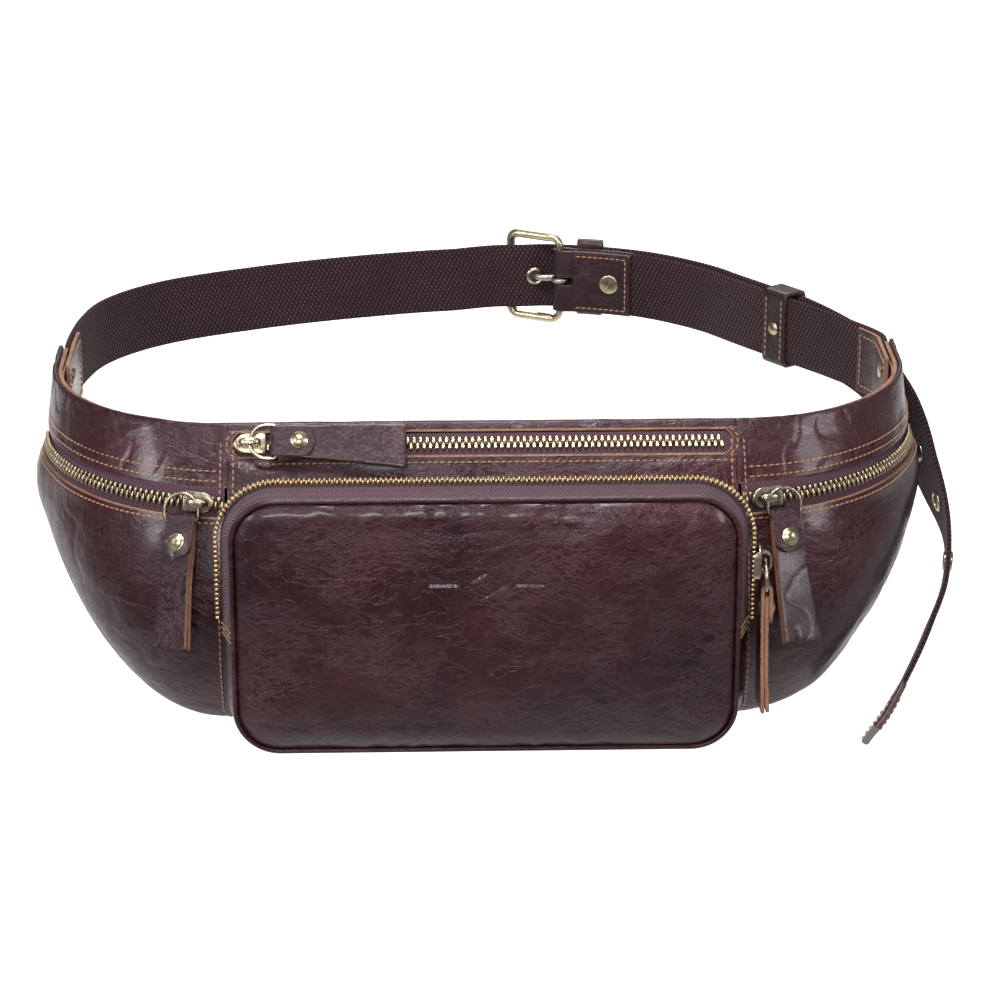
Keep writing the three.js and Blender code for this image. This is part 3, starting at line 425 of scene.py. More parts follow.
def edge_material():
    """Cut leather edge: pale fibres, darker where it is handled."""
    n = Nodes("raw_edge")
    here = n.place()
    fibres = n.noise(n.stretch(here, (1, 1, 2.2)), 0.8, 4, 0.7)
    stain = n.noise(here, 9, 3)
    colour = n.mix(n.ramp(fibres, 0.35, 0.7), (0.11, 0.045, 0.025), (0.30, 0.145, 0.078))
    colour = n.mix(n.ramp(stain, 0.45, 0.7, 0.0, 0.6), colour, (0.085, 0.03, 0.02))
    return n.finish(Base_Color=colour, Roughness=n.ramp(fibres, 0, 1, 0.6, 0.9), Normal=n.bump(fibres, 0.18))


def painted_edge_material():
    """An edge painted in the leather's colour, worn through to the fibres in places."""
    n = Nodes("painted_edge")
    worn = n.noise(n.place(), 2.2, 4, 0.7)
    colour = n.mix(n.ramp(worn, 0.5, 0.66), (0.022, 0.0075, 0.006), (0.10, 0.036, 0.022))
    return n.finish(Base_Color=colour, Roughness=0.5, Normal=n.bump(worn, 0.15))


def thread_material():
    n = Nodes("thread")
    twist = n.noise(n.place(), 0.5, 3)
    colour = n.mix(twist, (0.15, 0.055, 0.022), (0.36, 0.165, 0.075))
    return n.finish(Base_Color=colour, Roughness=n.ramp(twist, 0, 1, 0.4, 0.62), Normal=n.bump(twist, 0.1),
                    Sheen_Weight=0.3)


def weave_material(name, dark, light, across, along, slant, fuzz):
    """Woven band, drawn along the piece's own length and width: slanting rows of raised floats."""
    n = Nodes(name)
    flat = n.place("UV")
    apart = n.add("ShaderNodeSeparateXYZ", {0: n.warp(flat, 9, 0.35)})
    run = n.math("MULTIPLY", apart.outputs[0], 2 * math.pi * 1000 / along)
    width = n.math("MULTIPLY", apart.outputs[1], 2 * math.pi * 1000 / across)
    first = n.math("SINE", n.math("ADD", run, n.math("MULTIPLY", width, slant)))
    second = n.math("SINE", n.math("SUBTRACT", run, n.math("MULTIPLY", width, slant * 0.6)))
    floats = n.math("MULTIPLY", n.math("ADD", first, 1.0), n.math("ADD", second, 1.0))
    floats = n.math("MULTIPLY", floats, 0.25)
    fibre = n.noise(n.place(), 0.6, 3, 0.7)
    height = n.math("ADD", n.math("MULTIPLY", floats, 0.8), n.math("MULTIPLY", fibre, 0.35))
    # Raised floats coloured lighter and the hollows darker: a painted highlight and shade on the weave,
    # broken up by the fibres.
    float_highlight = n.math("MULTIPLY", n.ramp(height, 0.15, 0.85), n.ramp(fibre, 0.3, 0.65, 0.35, 1.0))
    colour = n.mix(float_highlight, dark, light)
    stain = n.ramp(n.noise(n.place(), 40, 3), 0.35, 0.7, 0.0, 0.35)
    colour = n.mix(stain, colour, dark)
    rough = n.ramp(height, 0, 1, 0.92, 0.68)
    return n.finish(Base_Color=colour, Roughness=rough, Normal=n.bump(height, fuzz),
                    Sheen_Weight=0.06, Sheen_Roughness=0.5, Sheen_Tint=(0.75, 0.62, 0.66, 1), Specular=0.1)


def tape_material():
    """Zip tape: herringbone of fine slanting ribs."""
    n = Nodes("zip_tape")
    apart = n.add("ShaderNodeSeparateXYZ", {0: n.place("UV")})
    zigzag = n.math("PINGPONG", apart.outputs[1], 0.0022)
    run = n.math("ADD", apart.outputs[0], n.math("MULTIPLY", zigzag, 1.3))
    run = n.math("MULTIPLY", run, 2 * math.pi * 1000 / 1.7)
    ribs = n.ramp(n.math("SINE", run), -1, 1, 0, 1, "LINEAR")
    fibre = n.noise(n.place(), 0.5, 3, 0.7)
    height = n.math("ADD", n.math("MULTIPLY", ribs, 0.7), n.math("MULTIPLY", fibre, 0.4))
    # Raised ribs coloured lighter and the hollows between them darker: a painted highlight and shade on the
    # herringbone.
    colour = n.mix(n.ramp(height, 0.2, 0.95), (0.015, 0.0065, 0.010), (0.095, 0.045, 0.062))
    colour = n.mix(n.ramp(n.noise(n.place(), 22, 3), 0.4, 0.7, 0, 0.3), colour, (0.05, 0.024, 0.028))
    return n.finish(Base_Color=colour, Roughness=n.ramp(height, 0, 1, 0.9, 0.65), Normal=n.bump(height, 0.28),
                    Sheen_Weight=0.12, Sheen_Roughness=0.45, Sheen_Tint=(0.85, 0.7, 0.78, 1), Specular=0.25)


def brass_material(name, bright, dull, tarnish, shine):
    """Antique brass: bright where it is rubbed, brown in the hollows."""
    n = Nodes(name)
    here = n.place()
    rubbed = n.add("ShaderNodeNewGeometry").outputs["Pointiness"]
    blotches = n.noise(here, 5, 5, 0.65)
    speck = n.noise(here, 0.9, 4, 0.7)
    worn = n.math("ADD", n.ramp(rubbed, 0.46, 0.54), n.ramp(blotches, 0.35, 0.7, -0.35, 0.35))
    colour = n.mix(n.ramp(worn, 0.0, 1.0), dull, bright)
    colour = n.mix(n.ramp(speck, 0.52, 0.7, 0, 0.6), colour, tarnish)
    rough = n.ramp(speck, 0.3, 0.75, shine, shine + 0.2)
    return n.finish(Base_Color=colour, Metallic=1.0, Roughness=rough, Normal=n.bump(speck, 0.05))


def lining_material():
    n = Nodes("lining")
    here = n.place()
    weft = n.noise(n.stretch(here, (1, 1, 3)), 0.7, 3)
    colour = n.mix(weft, (0.012, 0.009, 0.008), (0.045, 0.034, 0.03))
    return n.finish(Base_Color=colour, Roughness=0.9, Normal=n.bump(weft, 0.12))


# The fourth colour of each leather is its worn tone; the last number sets how far its creases are lightened
# towards it, partly as wear and partly as a painted highlight.
LEATHER_SKIN = leather_material("oiled_leather", (0.0095, 0.0017, 0.0021), (0.024, 0.0040, 0.0046), 0.31,
                                (0.050, 0.018, 0.020), 0.4)
TAB_SKIN = leather_material("pull_leather", (0.008, 0.0022, 0.0025), (0.016, 0.0038, 0.0042), 0.38,
                            (0.075, 0.042, 0.05), 0.55)
DARK_SKIN = leather_material("strap_leather", (0.0070, 0.0022, 0.0025), (0.018, 0.0050, 0.0055), 0.36,
                             (0.03, 0.012, 0.014), 0.3)
RAW_EDGE = edge_material()
THREAD_SKIN = thread_material()
WEBBING = weave_material("webbing", (0.012, 0.0052, 0.006), (0.080, 0.042, 0.046), 2.9, 2.5, 1.0, 0.5)
TAPE = tape_material()
BRASS = brass_material("antique_brass", (0.46, 0.39, 0.26), (0.19, 0.155, 0.10), (0.08, 0.06, 0.04), 0.24)
TOOTH_BRASS = brass_material("tooth_brass", (0.74, 0.62, 0.43), (0.30, 0.23, 0.14), (0.12, 0.085, 0.05), 0.22)
DARK_TOOTH = brass_material("dark_tooth_brass", (0.34, 0.27, 0.18), (0.12, 0.09, 0.055),
                            (0.05, 0.035, 0.02), 0.26)
POCKET_TOOTH = brass_material("pocket_tooth_brass", (0.50, 0.35, 0.19), (0.19, 0.12, 0.06),
                              (0.08, 0.045, 0.025), 0.3)
DARK_BRASS = brass_material("dark_brass", (0.34, 0.29, 0.22), (0.12, 0.095, 0.065),
                            (0.05, 0.037, 0.025), 0.22)
DULL_STEEL = brass_material("dull_steel", (0.30, 0.28, 0.26), (0.16, 0.145, 0.13), (0.07, 0.06, 0.05), 0.32)
LINING = lining_material()
PAINTED_EDGE = painted_edge_material()
SKIN_AND_EDGE = [LEATHER_SKIN, LEATHER_SKIN, RAW_EDGE]
SMALL_LEATHER = [DARK_SKIN, DARK_SKIN, PAINTED_EDGE]


# ---------- body surface ----------
def wall(s):
    s = np.asarray(s, float)
    side = np.where(s < 0, -1.0, 1.0)
    past = np.maximum(np.abs(s) - HALF_FLAT, 0)
    bend = np.minimum(past / WING_RADIUS, math.pi / 2)
    straight = np.maximum(past - WING_RADIUS * math.pi / 2, 0)
    x = side * (np.minimum(np.abs(s), HALF_FLAT) + WING_RADIUS * np.sin(bend))
    y = WING_RADIUS * (1 - np.cos(bend)) + straight
    return x, y, side * np.sin(bend), -np.cos(bend), bend, straight / WING_STRAIGHT


def lower_edge(bend, end):
    return WING_BASE * np.maximum(np.sin(bend), 0) ** WING_BASE_CURVE + WING_TIP_RISE * smooth(end)


def fullness(v):
    upper = 1 - np.maximum(1 - v / DEEPEST, 0) ** 1.6
    lower = 1 - 0.32 * np.maximum((v - DEEPEST) / (1 - DEEPEST), 0) ** 2.5
    return np.where(v < DEEPEST, upper, lower)


def zip_depth(bend):
    lean = ZIP_SHIFT * (np.sin(bend) - np.cos(bend))
    return np.sqrt(lean * lean - 2 * ZIP_SHIFT ** 2 + ZIP_RADIUS ** 2) - lean - WING_RADIUS


def skin_depth(bend, end, v):
    drop = HEIGHT - lower_edge(bend, end)
    v_zip = (HEIGHT - WING_ZIP_Z) / drop
    at_zip = lerp(zip_depth(bend), END_DEPTH, smooth(end))
    deepest = RIM_DEPTH + (at_zip - RIM_DEPTH) / fullness(np.minimum(v_zip, 1))
    below = np.clip((v - v_zip) / (1 - v_zip), 0, 1)
    swell = BELLY * np.sin(2 * bend) + SIDE_BELLY * smooth((bend - SIDE_FROM) / 0.45)
    belly = swell * np.sin(math.pi * below) * (1 - end)
    return RIM_DEPTH + (deepest - RIM_DEPTH) * fullness(v) + belly


def skin(s, v):
    """The outer skin: v runs 0 to 1 from rim to base and on to UNDER, back beneath it."""
    s, v = np.broadcast_arrays(np.asarray(s, float), np.asarray(v, float))
    x, y, nx, ny, bend, end = wall(s)
    low = lower_edge(bend, end)
    depth = skin_depth(bend, end, np.clip(v, 0, 1))
    depth = np.where(v > 1, lerp(depth, LEATHER + 2 * GAP + 0.4, (v - 1) / (UNDER - 1)), depth)
    z = HEIGHT - np.clip(v, 0, 1) * (HEIGHT - low)
    return np.stack([x + depth * nx, y + depth * ny, z], -1)


def skin_normal(s, v):
    s, v = np.broadcast_arrays(np.asarray(s, float), np.asarray(v, float))
    along = skin(s + 0.5, v) - skin(s - 0.5, v)
    down = skin(s, np.minimum(v + 0.01, UNDER)) - skin(s, np.maximum(v - 0.01, 0))
    return unit(np.cross(down, along))


def height_to_v(s, z):
    bend, end = wall(s)[4:]
    return (HEIGHT - z) / (HEIGHT - lower_edge(bend, end))


def grid_normals(points):
    """Unit normals of a grid, turned the way that the outer skin faces."""
    along = np.gradient(points, axis=0)
    down = np.gradient(points, axis=1)
    return unit(np.cross(down, along))


def border_share(points, reach):
    """0 at a grid's border and 1 from reach millimetres inside it."""
    a, b = arc_lengths(points, 0), arc_lengths(points, 1)
    gaps = [a, a[-1:] - a, b, b[:, -1:] - b]
    near = np.min(gaps, axis=0)
    return smooth(near / reach)


def hide_relief(points, seed, amount):
    """How far soft leather stands in or out: broad dents, then folds, then a fine crumple."""
    broad = 2.0 * noise(points * (1, 1, 0.9), 50, seed) + 0.6 * noise(points, 22, seed + 1)
    folds = 0.4 * creases(points * (0.75, 1, 1.25), 19, seed + 2) * smooth(noise(points, 40, seed + 3) + 0.4)
    small = 0.08 * noise(points, 7, seed + 4)
    return amount * (broad - folds + small)


def puckers(distance, along, seed):
    """Small gathers that a row of stitches draws in the leather beside it."""
    wave = noise(np.stack([along, along * 0, along * 0], -1), 7.5, seed)
    return 0.45 * wave * np.exp(-distance / 6) - 0.35 * np.exp(-((distance - 2) / 1.6) ** 2)


# ---------- stitches ----------
STITCHES = {}


def capsule():
    """A stitch lying along x, its ends dipping into the leather."""
    stations = np.linspace(-1, 1, 7)
    swell = np.sqrt(np.maximum(1 - np.abs(stations) ** 3, 0.03))
    turn = np.linspace(0, 2 * math.pi, 6, endpoint=False)
    rows = []
    for x, r in zip(stations, swell):
        dip = 0.5 * THREAD - 0.9 * THREAD * abs(x) ** 4
        rows.append(np.stack([np.full(6, x * STITCH_LENGTH / 2), r * THREAD * np.cos(turn),
                              dip + r * THREAD * np.sin(turn)], -1))
    index = np.arange(42).reshape(7, 6)
    index = np.hstack([index, index[:, :1]])
    faces = [grid_faces(index)]
    for row, way in ((index[0], 1), (index[-1], -1)):
        faces.append(np.array([row[:4][::way], row[[0, 3, 4, 5]][::way]]))
    return np.concatenate(rows), np.concatenate(faces)


CAPSULE = capsule()


def resample(line, pitch):
    """Evenly spaced shares along a polyline and the polyline's value at each."""
    run = arc_lengths(line, 0)
    count = max(int(run[-1] / pitch), 1)
    where = (np.arange(count) + 0.5) * run[-1] / count
    return np.stack([np.interp(where, run, line[:, k]) for k in range(3)], -1), where, run


def stitch_row(body, line, normals, pitch=STITCH_PITCH):
    """A row of stitches along a polyline that lies on the leather, with the way out at each point."""
    line = np.asarray(line, float)
    normals = np.broadcast_to(np.asarray(normals, float), line.shape)
    places, where, run = resample(line, pitch)
    up = unit(np.stack([np.interp(where, run, normals[:, k]) for k in range(3)], -1))
    ahead = np.stack([np.interp(where + 0.4, run, line[:, k]) for k in range(3)], -1)
    behind = np.stack([np.interp(where - 0.4, run, line[:, k]) for k in range(3)], -1)
    along = unit(ahead - behind)
    side = unit(np.cross(up, along))
    slant = 0.12 + 0.06 * noise(places, 5, 7)[:, None]
    along, side = along + side * slant, side - along * slant
    part = scatter(CAPSULE[0], CAPSULE[1], np.stack([along, side, up], 1), places)
    STITCHES.setdefault(body, []).append(part)


def skin_row(s, v):
    """A polyline on the body's skin with its normals."""
    return skin(s, v), skin_normal(s, v)


# ---------- body panels ----------
def rim_roll(stations):
    """The folded top edge of the leather: from behind the rim, over it, to the skin's top."""
    x, y, nx, ny = wall(stations)[:4]
    rows = []
    for depth, rise in ((2.35, -1.4), (2.6, 0.1), (3.4, 0.75), (4.3, 0.7), (4.85, 0.1)):
        rows.append(np.stack([x + depth * nx, y + depth * ny, np.full_like(x, HEIGHT + rise)], -1))
    return rows


def panel_grid(stations, top, bottom, cols, rolled=False, raw=()):
    """A grid of the skin between two levels, with a narrow strip at each edge named in raw, where the cut is
    to show.
    """
    share = np.broadcast_to(np.linspace(0, 1, cols + 1), (len(stations), cols + 1)).copy()
    strip = RAW_STRIP / ((bottom - top) * HEIGHT)
    if "top" in raw:
        share[:, 1] = strip
    if "bottom" in raw:
        share[:, -2] = 1 - strip
    v = top[:, None] + (bottom - top)[:, None] * share
    grid = skin(stations[:, None], v)
    if rolled:
        head = np.stack(rim_roll(stations), 1)
        grid = np.concatenate([head, grid[:, 1:]], 1)
    return grid


def show_cut(part, shape, raw):
    """Gives the narrow strip at a slab's first or last column the colour of cut leather."""
    tags = part[3]
    count = (shape[0] - 1) * (shape[1] - 1)
    front = tags[:count].reshape(shape[0] - 1, shape[1] - 1)
    if "top" in raw:
        front[:, 0] = 2
    if "bottom" in raw:
        front[:, -1] = 2
    return part


def leather_panel(name, grid, stands_for, seed, amount, extra, raw=()):
    """A body panel: its grid is crumpled inside its borders and given thickness inwards."""
    normals = grid_normals(grid)
    lift = hide_relief(grid, seed, amount) * border_share(grid, 9) + extra
    outer = grid + normals * lift[..., None]
    inner = outer - grid_normals(outer) * LEATHER
    part = show_cut(slab(outer, inner), outer.shape, raw)
    return make_piece(name, part, SKIN_AND_EDGE, "pack_body", stands_for, EDGE_ROUND)


def make_back_panel():
    stations = np.linspace(-WING_END, WING_END, 300)
    x, y, nx, ny, bend, end = wall(stations)
    low = lower_edge(bend, end) + GAP
    share = np.linspace(0, 1, 60)
    z = low[:, None] + (HEIGHT - 0.6 - low)[:, None] * share
    base = np.stack([np.broadcast_to(x[:, None], z.shape), np.broadcast_to(y[:, None], z.shape), z], -1)
    out = np.stack([nx, ny, nx * 0], -1)[:, None]
    mask = border_share(base, 12)
    sway = 0.35 * noise(base, 40, 5) * mask
    facing = base + out * (sway + 0.05)[..., None]
    hidden = base + out * (LEATHER + sway * 0.5)[..., None]
    make_piece("back_panel_leather", slab(facing, hidden), SKIN_AND_EDGE, "pack_body",
               ["back_panel"], EDGE_ROUND)
    for level in (np.full_like(x, HEIGHT - 3.2), low + 3.5):
        row = np.stack([x, y, level], -1)
        stitch_row("pack_body", row[4:-4] - out[4:-4, 0] * 0.05, -out[4:-4, 0])
    for seam in (-HALF_FLAT, HALF_FLAT):
        column = np.stack([np.full(40, seam), np.zeros(40), np.linspace(4, HEIGHT - 5, 40)], -1)
        stitch_row("pack_body", column + vec(0, -0.05, 0), vec(0, 1, 0))


def make_middle():
    half = HALF_FLAT - GAP / 2
    stations = np.linspace(-half, half, 170)
    ones = np.ones_like(stations)
    band = panel_grid(stations, ones * 0, ones * MAIN_BAND_V, 4, rolled=True, raw=("bottom",))
    wave = 0.18 * noise(band, 14, 21) + 0.12 * noise(band, 5, 22)
    leather_panel("top_band_leather", band, ["top_band"], 20, 0.0, extra=wave * border_share(band, 2),
                  raw=("bottom",))
    front = panel_grid(stations, ones * MAIN_LOWER_V, ones * UNDER, 96, raw=("top",))
    gather = np.minimum(arc_lengths(front, 0), arc_lengths(front, 0)[-1:] - arc_lengths(front, 0))
    pucker = puckers(gather, arc_lengths(front, 1), 30) * border_share(front, 3)
    leather_panel("front_panel_leather", front, ["front_panel"], 31, 0.6, extra=pucker, raw=("top",))
    stitch_row("pack_body", *skin_row(np.linspace(-half + 1, half - 1, 60), MAIN_LOWER_V + 0.022))


def make_wing(side, name, seed):
    stations = side * np.linspace(HALF_FLAT + GAP / 2, WING_END, 150)
    if side < 0:
        stations = stations[::-1]
    zip_top = height_to_v(stations, WING_ZIP_Z + WING_ZIP_HALF)
    zip_bottom = height_to_v(stations, WING_ZIP_Z - WING_ZIP_HALF)
    band = panel_grid(stations, stations * 0, zip_top, 22, rolled=True)
    lift = 0.5 * noise(band, 26, seed) + 0.2 * noise(band, 8, seed + 1)
    crumple = -0.4 * creases(band * (1, 1, 0.6), 12, seed + 2)
    leather_panel(f"{name}_wing_band_leather", band, [f"{name}_wing_band"], seed, 0.0,
                  extra=(lift + crumple) * border_share(band, 5))
    panel = panel_grid(stations, zip_bottom, np.full_like(stations, UNDER), 84, raw=("top",))
    run = arc_lengths(panel, 0)
    seam_gap = run if side > 0 else run[-1:] - run
    pucker = puckers(seam_gap, arc_lengths(panel, 1), seed + 5) * border_share(panel, 3)
    leather_panel(f"{name}_wing_panel_leather", panel, [f"{name}_wing_panel"], seed + 6, 1.2, extra=pucker,
                  raw=("top",))
    make_zip_end_patch(side, name)
    inside = side * np.linspace(HALF_FLAT + 4, WING_END - 3, 80)
    for drop in (2.6, 6.6):
        stitch_row("pack_body", *skin_row(inside, height_to_v(inside, WING_ZIP_Z + WING_ZIP_HALF + drop)))
    stitch_row("pack_body", *skin_row(inside, height_to_v(inside, WING_ZIP_Z - WING_ZIP_HALF - 2.6)))
    for shift in (-2.7, 2.7):
        levels = np.linspace(0.05, 0.97, 60)
        stitch_row("pack_body", *skin_row(side * HALF_FLAT + shift, levels))


def make_zip_end_patch(side, name):
    """Leather that closes the outer end of a wing's zip window from behind."""
    closed = side * np.linspace(HALF_FLAT + WING_RADIUS * math.radians(83), WING_END - 0.5, 24)
    if side < 0:
        closed = closed[::-1]
    patch = panel_grid(closed, height_to_v(closed, WING_ZIP_Z + WING_ZIP_HALF + 3),
                       height_to_v(closed, WING_ZIP_Z - WING_ZIP_HALF - 3), 10)
    patch = patch - grid_normals(patch) * (LEATHER + 0.5)
    make_piece(f"{name}_zip_end_leather", slab(patch, patch - grid_normals(patch) * 1.2), SKIN_AND_EDGE,
               "pack_body", (), 0.2)


def make_divider(side, name):
    v = np.linspace(0.16, 0.92, 12)
    depth = skin_depth(np.zeros(12), np.zeros(12), v) - LEATHER - 1.8
    z = HEIGHT * (1 - v)
    share = np.linspace(0, 1, 8)
    y = -(4.0 + (depth - 4.0)[:, None] * share)
    x = side * (HALF_FLAT - 1.2) + 0.5 * np.sin(share * 5)[None] * np.sin(v * 7)[:, None]
    grid = np.stack([x, y, np.broadcast_to(z[:, None], y.shape)], -1)
    shift = vec(0.6, 0, 0)
    make_piece(f"{name}_divider_cloth", slab(grid + shift, grid - shift), [LINING], "pack_body",
               [f"{name}_divider"], 0.2)


# ---------- zips ----------
def tooth(width, height, length):
    """One zip tooth in (along, across, up): a rounded block with a narrower nose over the centre."""
    stations = np.array([-0.28, -0.2, -0.02, 0.06, 0.35, 0.8, 0.95, 1.0]) * length
    wide = np.array([0.12, 0.42, 0.5, 0.86, 1.0, 1.0, 0.8, 0.4]) * width / 2
    tall = np.array([0.3, 0.6, 0.7, 0.92, 1.0, 1.0, 0.85, 0.5]) * height / 2
    turn = np.linspace(0, 2 * math.pi, 8, endpoint=False) + math.pi / 8
    c, s = np.cos(turn), np.sin(turn)
    c, s = np.sign(c) * np.abs(c) ** 0.6, np.sign(s) * np.abs(s) ** 0.6
    points = np.stack([wide[:, None] * c, np.broadcast_to(stations[:, None], (8, 8)), tall[:, None] * s], -1)
    index = np.arange(64).reshape(8, 8)
    index = np.hstack([index, index[:, :1]])
    faces = [grid_faces(index)]
    for row, way in ((index[0], 1), (index[-1], -1)):
        faces.append(np.array([row[[0, 1, 2, 3]][::way], row[[0, 3, 4, 7]][::way], row[[4, 5, 6, 7]][::way]]))
    return points.reshape(-1, 3), np.concatenate(faces)


def frames_along(line, up):
    """Positions, tangents, sideways and upward directions of a polyline that lies on a surface."""
    line = np.asarray(line, float)
    up = unit(np.broadcast_to(np.asarray(up, float), line.shape))
    along = unit(np.gradient(line, axis=0))
    across = unit(np.cross(up, along))
    return line, along, across, up


def zip_chain(name, line, up, lift, width, metal=None, skip=(0, 0), pitch=TOOTH_PITCH):
    """Two interleaved rows of teeth on a line."""
    line, along, across, up = frames_along(line, up)
    raised = line + up * lift
    run = arc_lengths(raised, 0)
    count = int(run[-1] / pitch)
    shape, faces = tooth(pitch * 0.56, CHAIN_THICK * 0.95, width / 2)
    parts = []
    for row, way in enumerate((1, -1)):
        where = (np.arange(skip[0], count - skip[1]) + 0.25 + 0.5 * row) * pitch

        def pick(field):
            return np.stack([np.interp(where, run, field[:, k]) for k in range(3)], -1)

        tangent, side, rise = unit(pick(along)), unit(pick(across)) * way, unit(pick(up))
        parts.append(scatter(shape, faces, np.stack([tangent, side, rise], 1), pick(raised)))
    make_piece(f"{name}_zip_teeth", parts, [metal or TOOTH_BRASS], "pack_body",
               [f"{name}_zip_chain"], creased=0)


def zip_tape(name, line, up, lift, width):
    line, _, across, up = frames_along(line, up)
    share = np.linspace(-0.5, 0.5, 17)
    rise = lift + 0.4 - 0.15 * (2 * share) ** 2
    top = line[:, None] + across[:, None] * (share * width)[:, None] + up[:, None] * rise[:, None]
    low = top - up[:, None] * TAPE_THICK
    make_piece(f"{name}_zip_tape_woven", slab(top, low), [TAPE], "pack_body",
               [f"{name}_zip_tape"], 0.15)


def main_zip_line():
    count, ends = 120, 1.5
    x = np.linspace(-(HALF_FLAT - ends), HALF_FLAT - ends, count)
    line = skin(0.0, MAIN_ZIP_V) * np.ones((count, 1))
    line[:, 0] = x
    return line, skin_normal(0.0, MAIN_ZIP_V)


def wing_zip_at(side, turn):
    turn = np.asarray(turn, float)
    out = np.stack([side * np.sin(turn), -np.cos(turn), turn * 0], -1)
    along = np.stack([np.cos(turn) * side, np.sin(turn), turn * 0], -1)
    up = out * math.cos(ZIP_TILT) + vec(0, 0, math.sin(ZIP_TILT))
    across = vec(0, 0, math.cos(ZIP_TILT)) - out * math.sin(ZIP_TILT)
    centre = vec(side * (HALF_FLAT - ZIP_SHIFT), WING_RADIUS - ZIP_SHIFT, WING_ZIP_Z)
    return centre + out * ZIP_RADIUS, along, across, up


# ---------- pulls ----------
def transform(basis=None, place=(0, 0, 0)):
    matrix = np.eye(4)
    if basis is not None:
        matrix[:3, :3] = np.array(basis, float).T
    matrix[:3, 3] = place
    return matrix


def turn_about(axis, angle):
    c, s = math.cos(angle), math.sin(angle)
    if axis == "x":
        rows = [[1, 0, 0], [0, c, s], [0, -s, c]]
    else:
        rows = [[c, s, 0], [-s, c, 0], [0, 0, 1]]
    return transform(rows)


def moved(part, matrix):
    points = part[0] @ matrix[:3, :3].T + matrix[:3, 3]
    return (points, *part[1:])


def slider_parts():
    """The slider in its own axes: along x, up z."""
    x = np.linspace(-7.2, 7.2, 26)
    nose = np.sqrt(np.clip(1 - ((x + 7.4) / 6.0 - 1) ** 2, 0.05, 1))
    half = np.where(x < -1.4, 4.7 * nose, lerp(4.7, 5.1, smooth((x + 1.4) / 8.6)))
    half = half * np.where(x > 6.3, 0.93, 1)
    share = np.linspace(-1, 1, 15)
    crown = PLATE + 0.1 - 0.5 * np.abs(share) ** 4 - 0.35 * (np.abs(x)[:, None] / 7.2) ** 4
    skirt = np.where(np.abs(share) > 0.86, lerp(0.35, -2.3, smooth((x[:, None] + 5.6) / 1.5)), 0.35)
    top = np.stack([np.broadcast_to(x[:, None], (26, 15)), half[:, None] * share, crown], -1)
    low = np.stack([top[..., 0], top[..., 1] * 0.97, np.broadcast_to(skirt, (26, 15))], -1)
    parts = [slab(top, low)]
    turn = np.linspace(0, math.pi, 15)
    bend = np.stack([-4.4 * np.sign(np.cos(turn)) * np.abs(np.cos(turn)) ** 0.7, turn * 0,
                     PLATE + (ARCH_HOLE + 0.7) * np.sin(turn) ** 0.55 - 0.2], -1)
    legs = [[-4.9, 0, 0.8]], [[4.9, 0, 0.8]]
    arch = np.concatenate([legs[0], bend, legs[1]])
    wide = np.linspace(-1, 1, 9)
    outward = unit(np.stack([arch[:, 0], arch[:, 0] * 0, (arch[:, 2] - PLATE) * 1.2 + 0.01], -1))
    width = np.interp(np.linspace(-1, 1, len(arch)), [-1, -0.5, 0, 0.5, 1], [1.7, 1.5, 1.9, 1.5, 1.7])
    outer = arch[:, None] + vec(0, 1, 0) * (width[:, None] * wide)[..., None]
    outer = outer + outward[:, None] * (0.75 - 0.45 * np.abs(wide) ** 3)[:, None]
    inner = arch[:, None] + vec(0, 1, 0) * (width[:, None] * wide * 0.96)[..., None] - outward[:, None] * 0.35
    parts.append(slab(outer, inner))
    return parts


def even_loop(path, count):
    """Evenly spaced points on the closed line through (x, y) points."""
    path = np.concatenate([path, path[:1]])
    run = arc_lengths(path, 0)
    where = np.linspace(0, run[-1], count, endpoint=False)
    return np.stack([np.interp(where, run, path[:, k]) for k in range(2)], -1)


def rounded_box(low, high, half, radius, steps, count):
    """Evenly spaced points round a box from low to high and half each way, its corners rounded."""
    path = []
    for x, y, first in ((high - radius, half - radius, 0), (low + radius, half - radius, 90),
                        (low + radius, radius - half, 180), (high - radius, radius - half, 270)):
        turn = np.radians(first + np.linspace(0, 90, steps))
        path.append(np.stack([x + radius * np.cos(turn), y + radius * np.sin(turn)], -1))
    return even_loop(np.concatenate(path), count)


def ring_line():
    corner = 1.6
    straight = RING_RADIUS - corner
    bow = np.linspace(0, math.pi, 40)
    turn = np.linspace(-math.pi / 2, 0, 8)
    right = np.stack([straight + corner * np.cos(turn), corner - RING_LEG + corner * np.sin(turn)], -1)
    left = np.stack([-right[:, 0], right[:, 1]], -1)[::-1]
    arc = np.stack([RING_RADIUS * np.cos(bow), RING_RADIUS * np.sin(bow)], -1)
    flat = even_loop(np.concatenate([right, arc, left]), 72)
    return np.concatenate([flat, flat[:, :1] * 0], 1)


def twisted(points, twist):
    """Turns points of a pull about its length, the further down it the more."""
    angle = twist * smooth((3 - points[..., 1]) / 34)
    x = points[..., 0] * np.cos(angle) + points[..., 2] * np.sin(angle)
    z = points[..., 2] * np.cos(angle) - points[..., 0] * np.sin(angle)
    return np.stack([x, points[..., 1], z], -1)


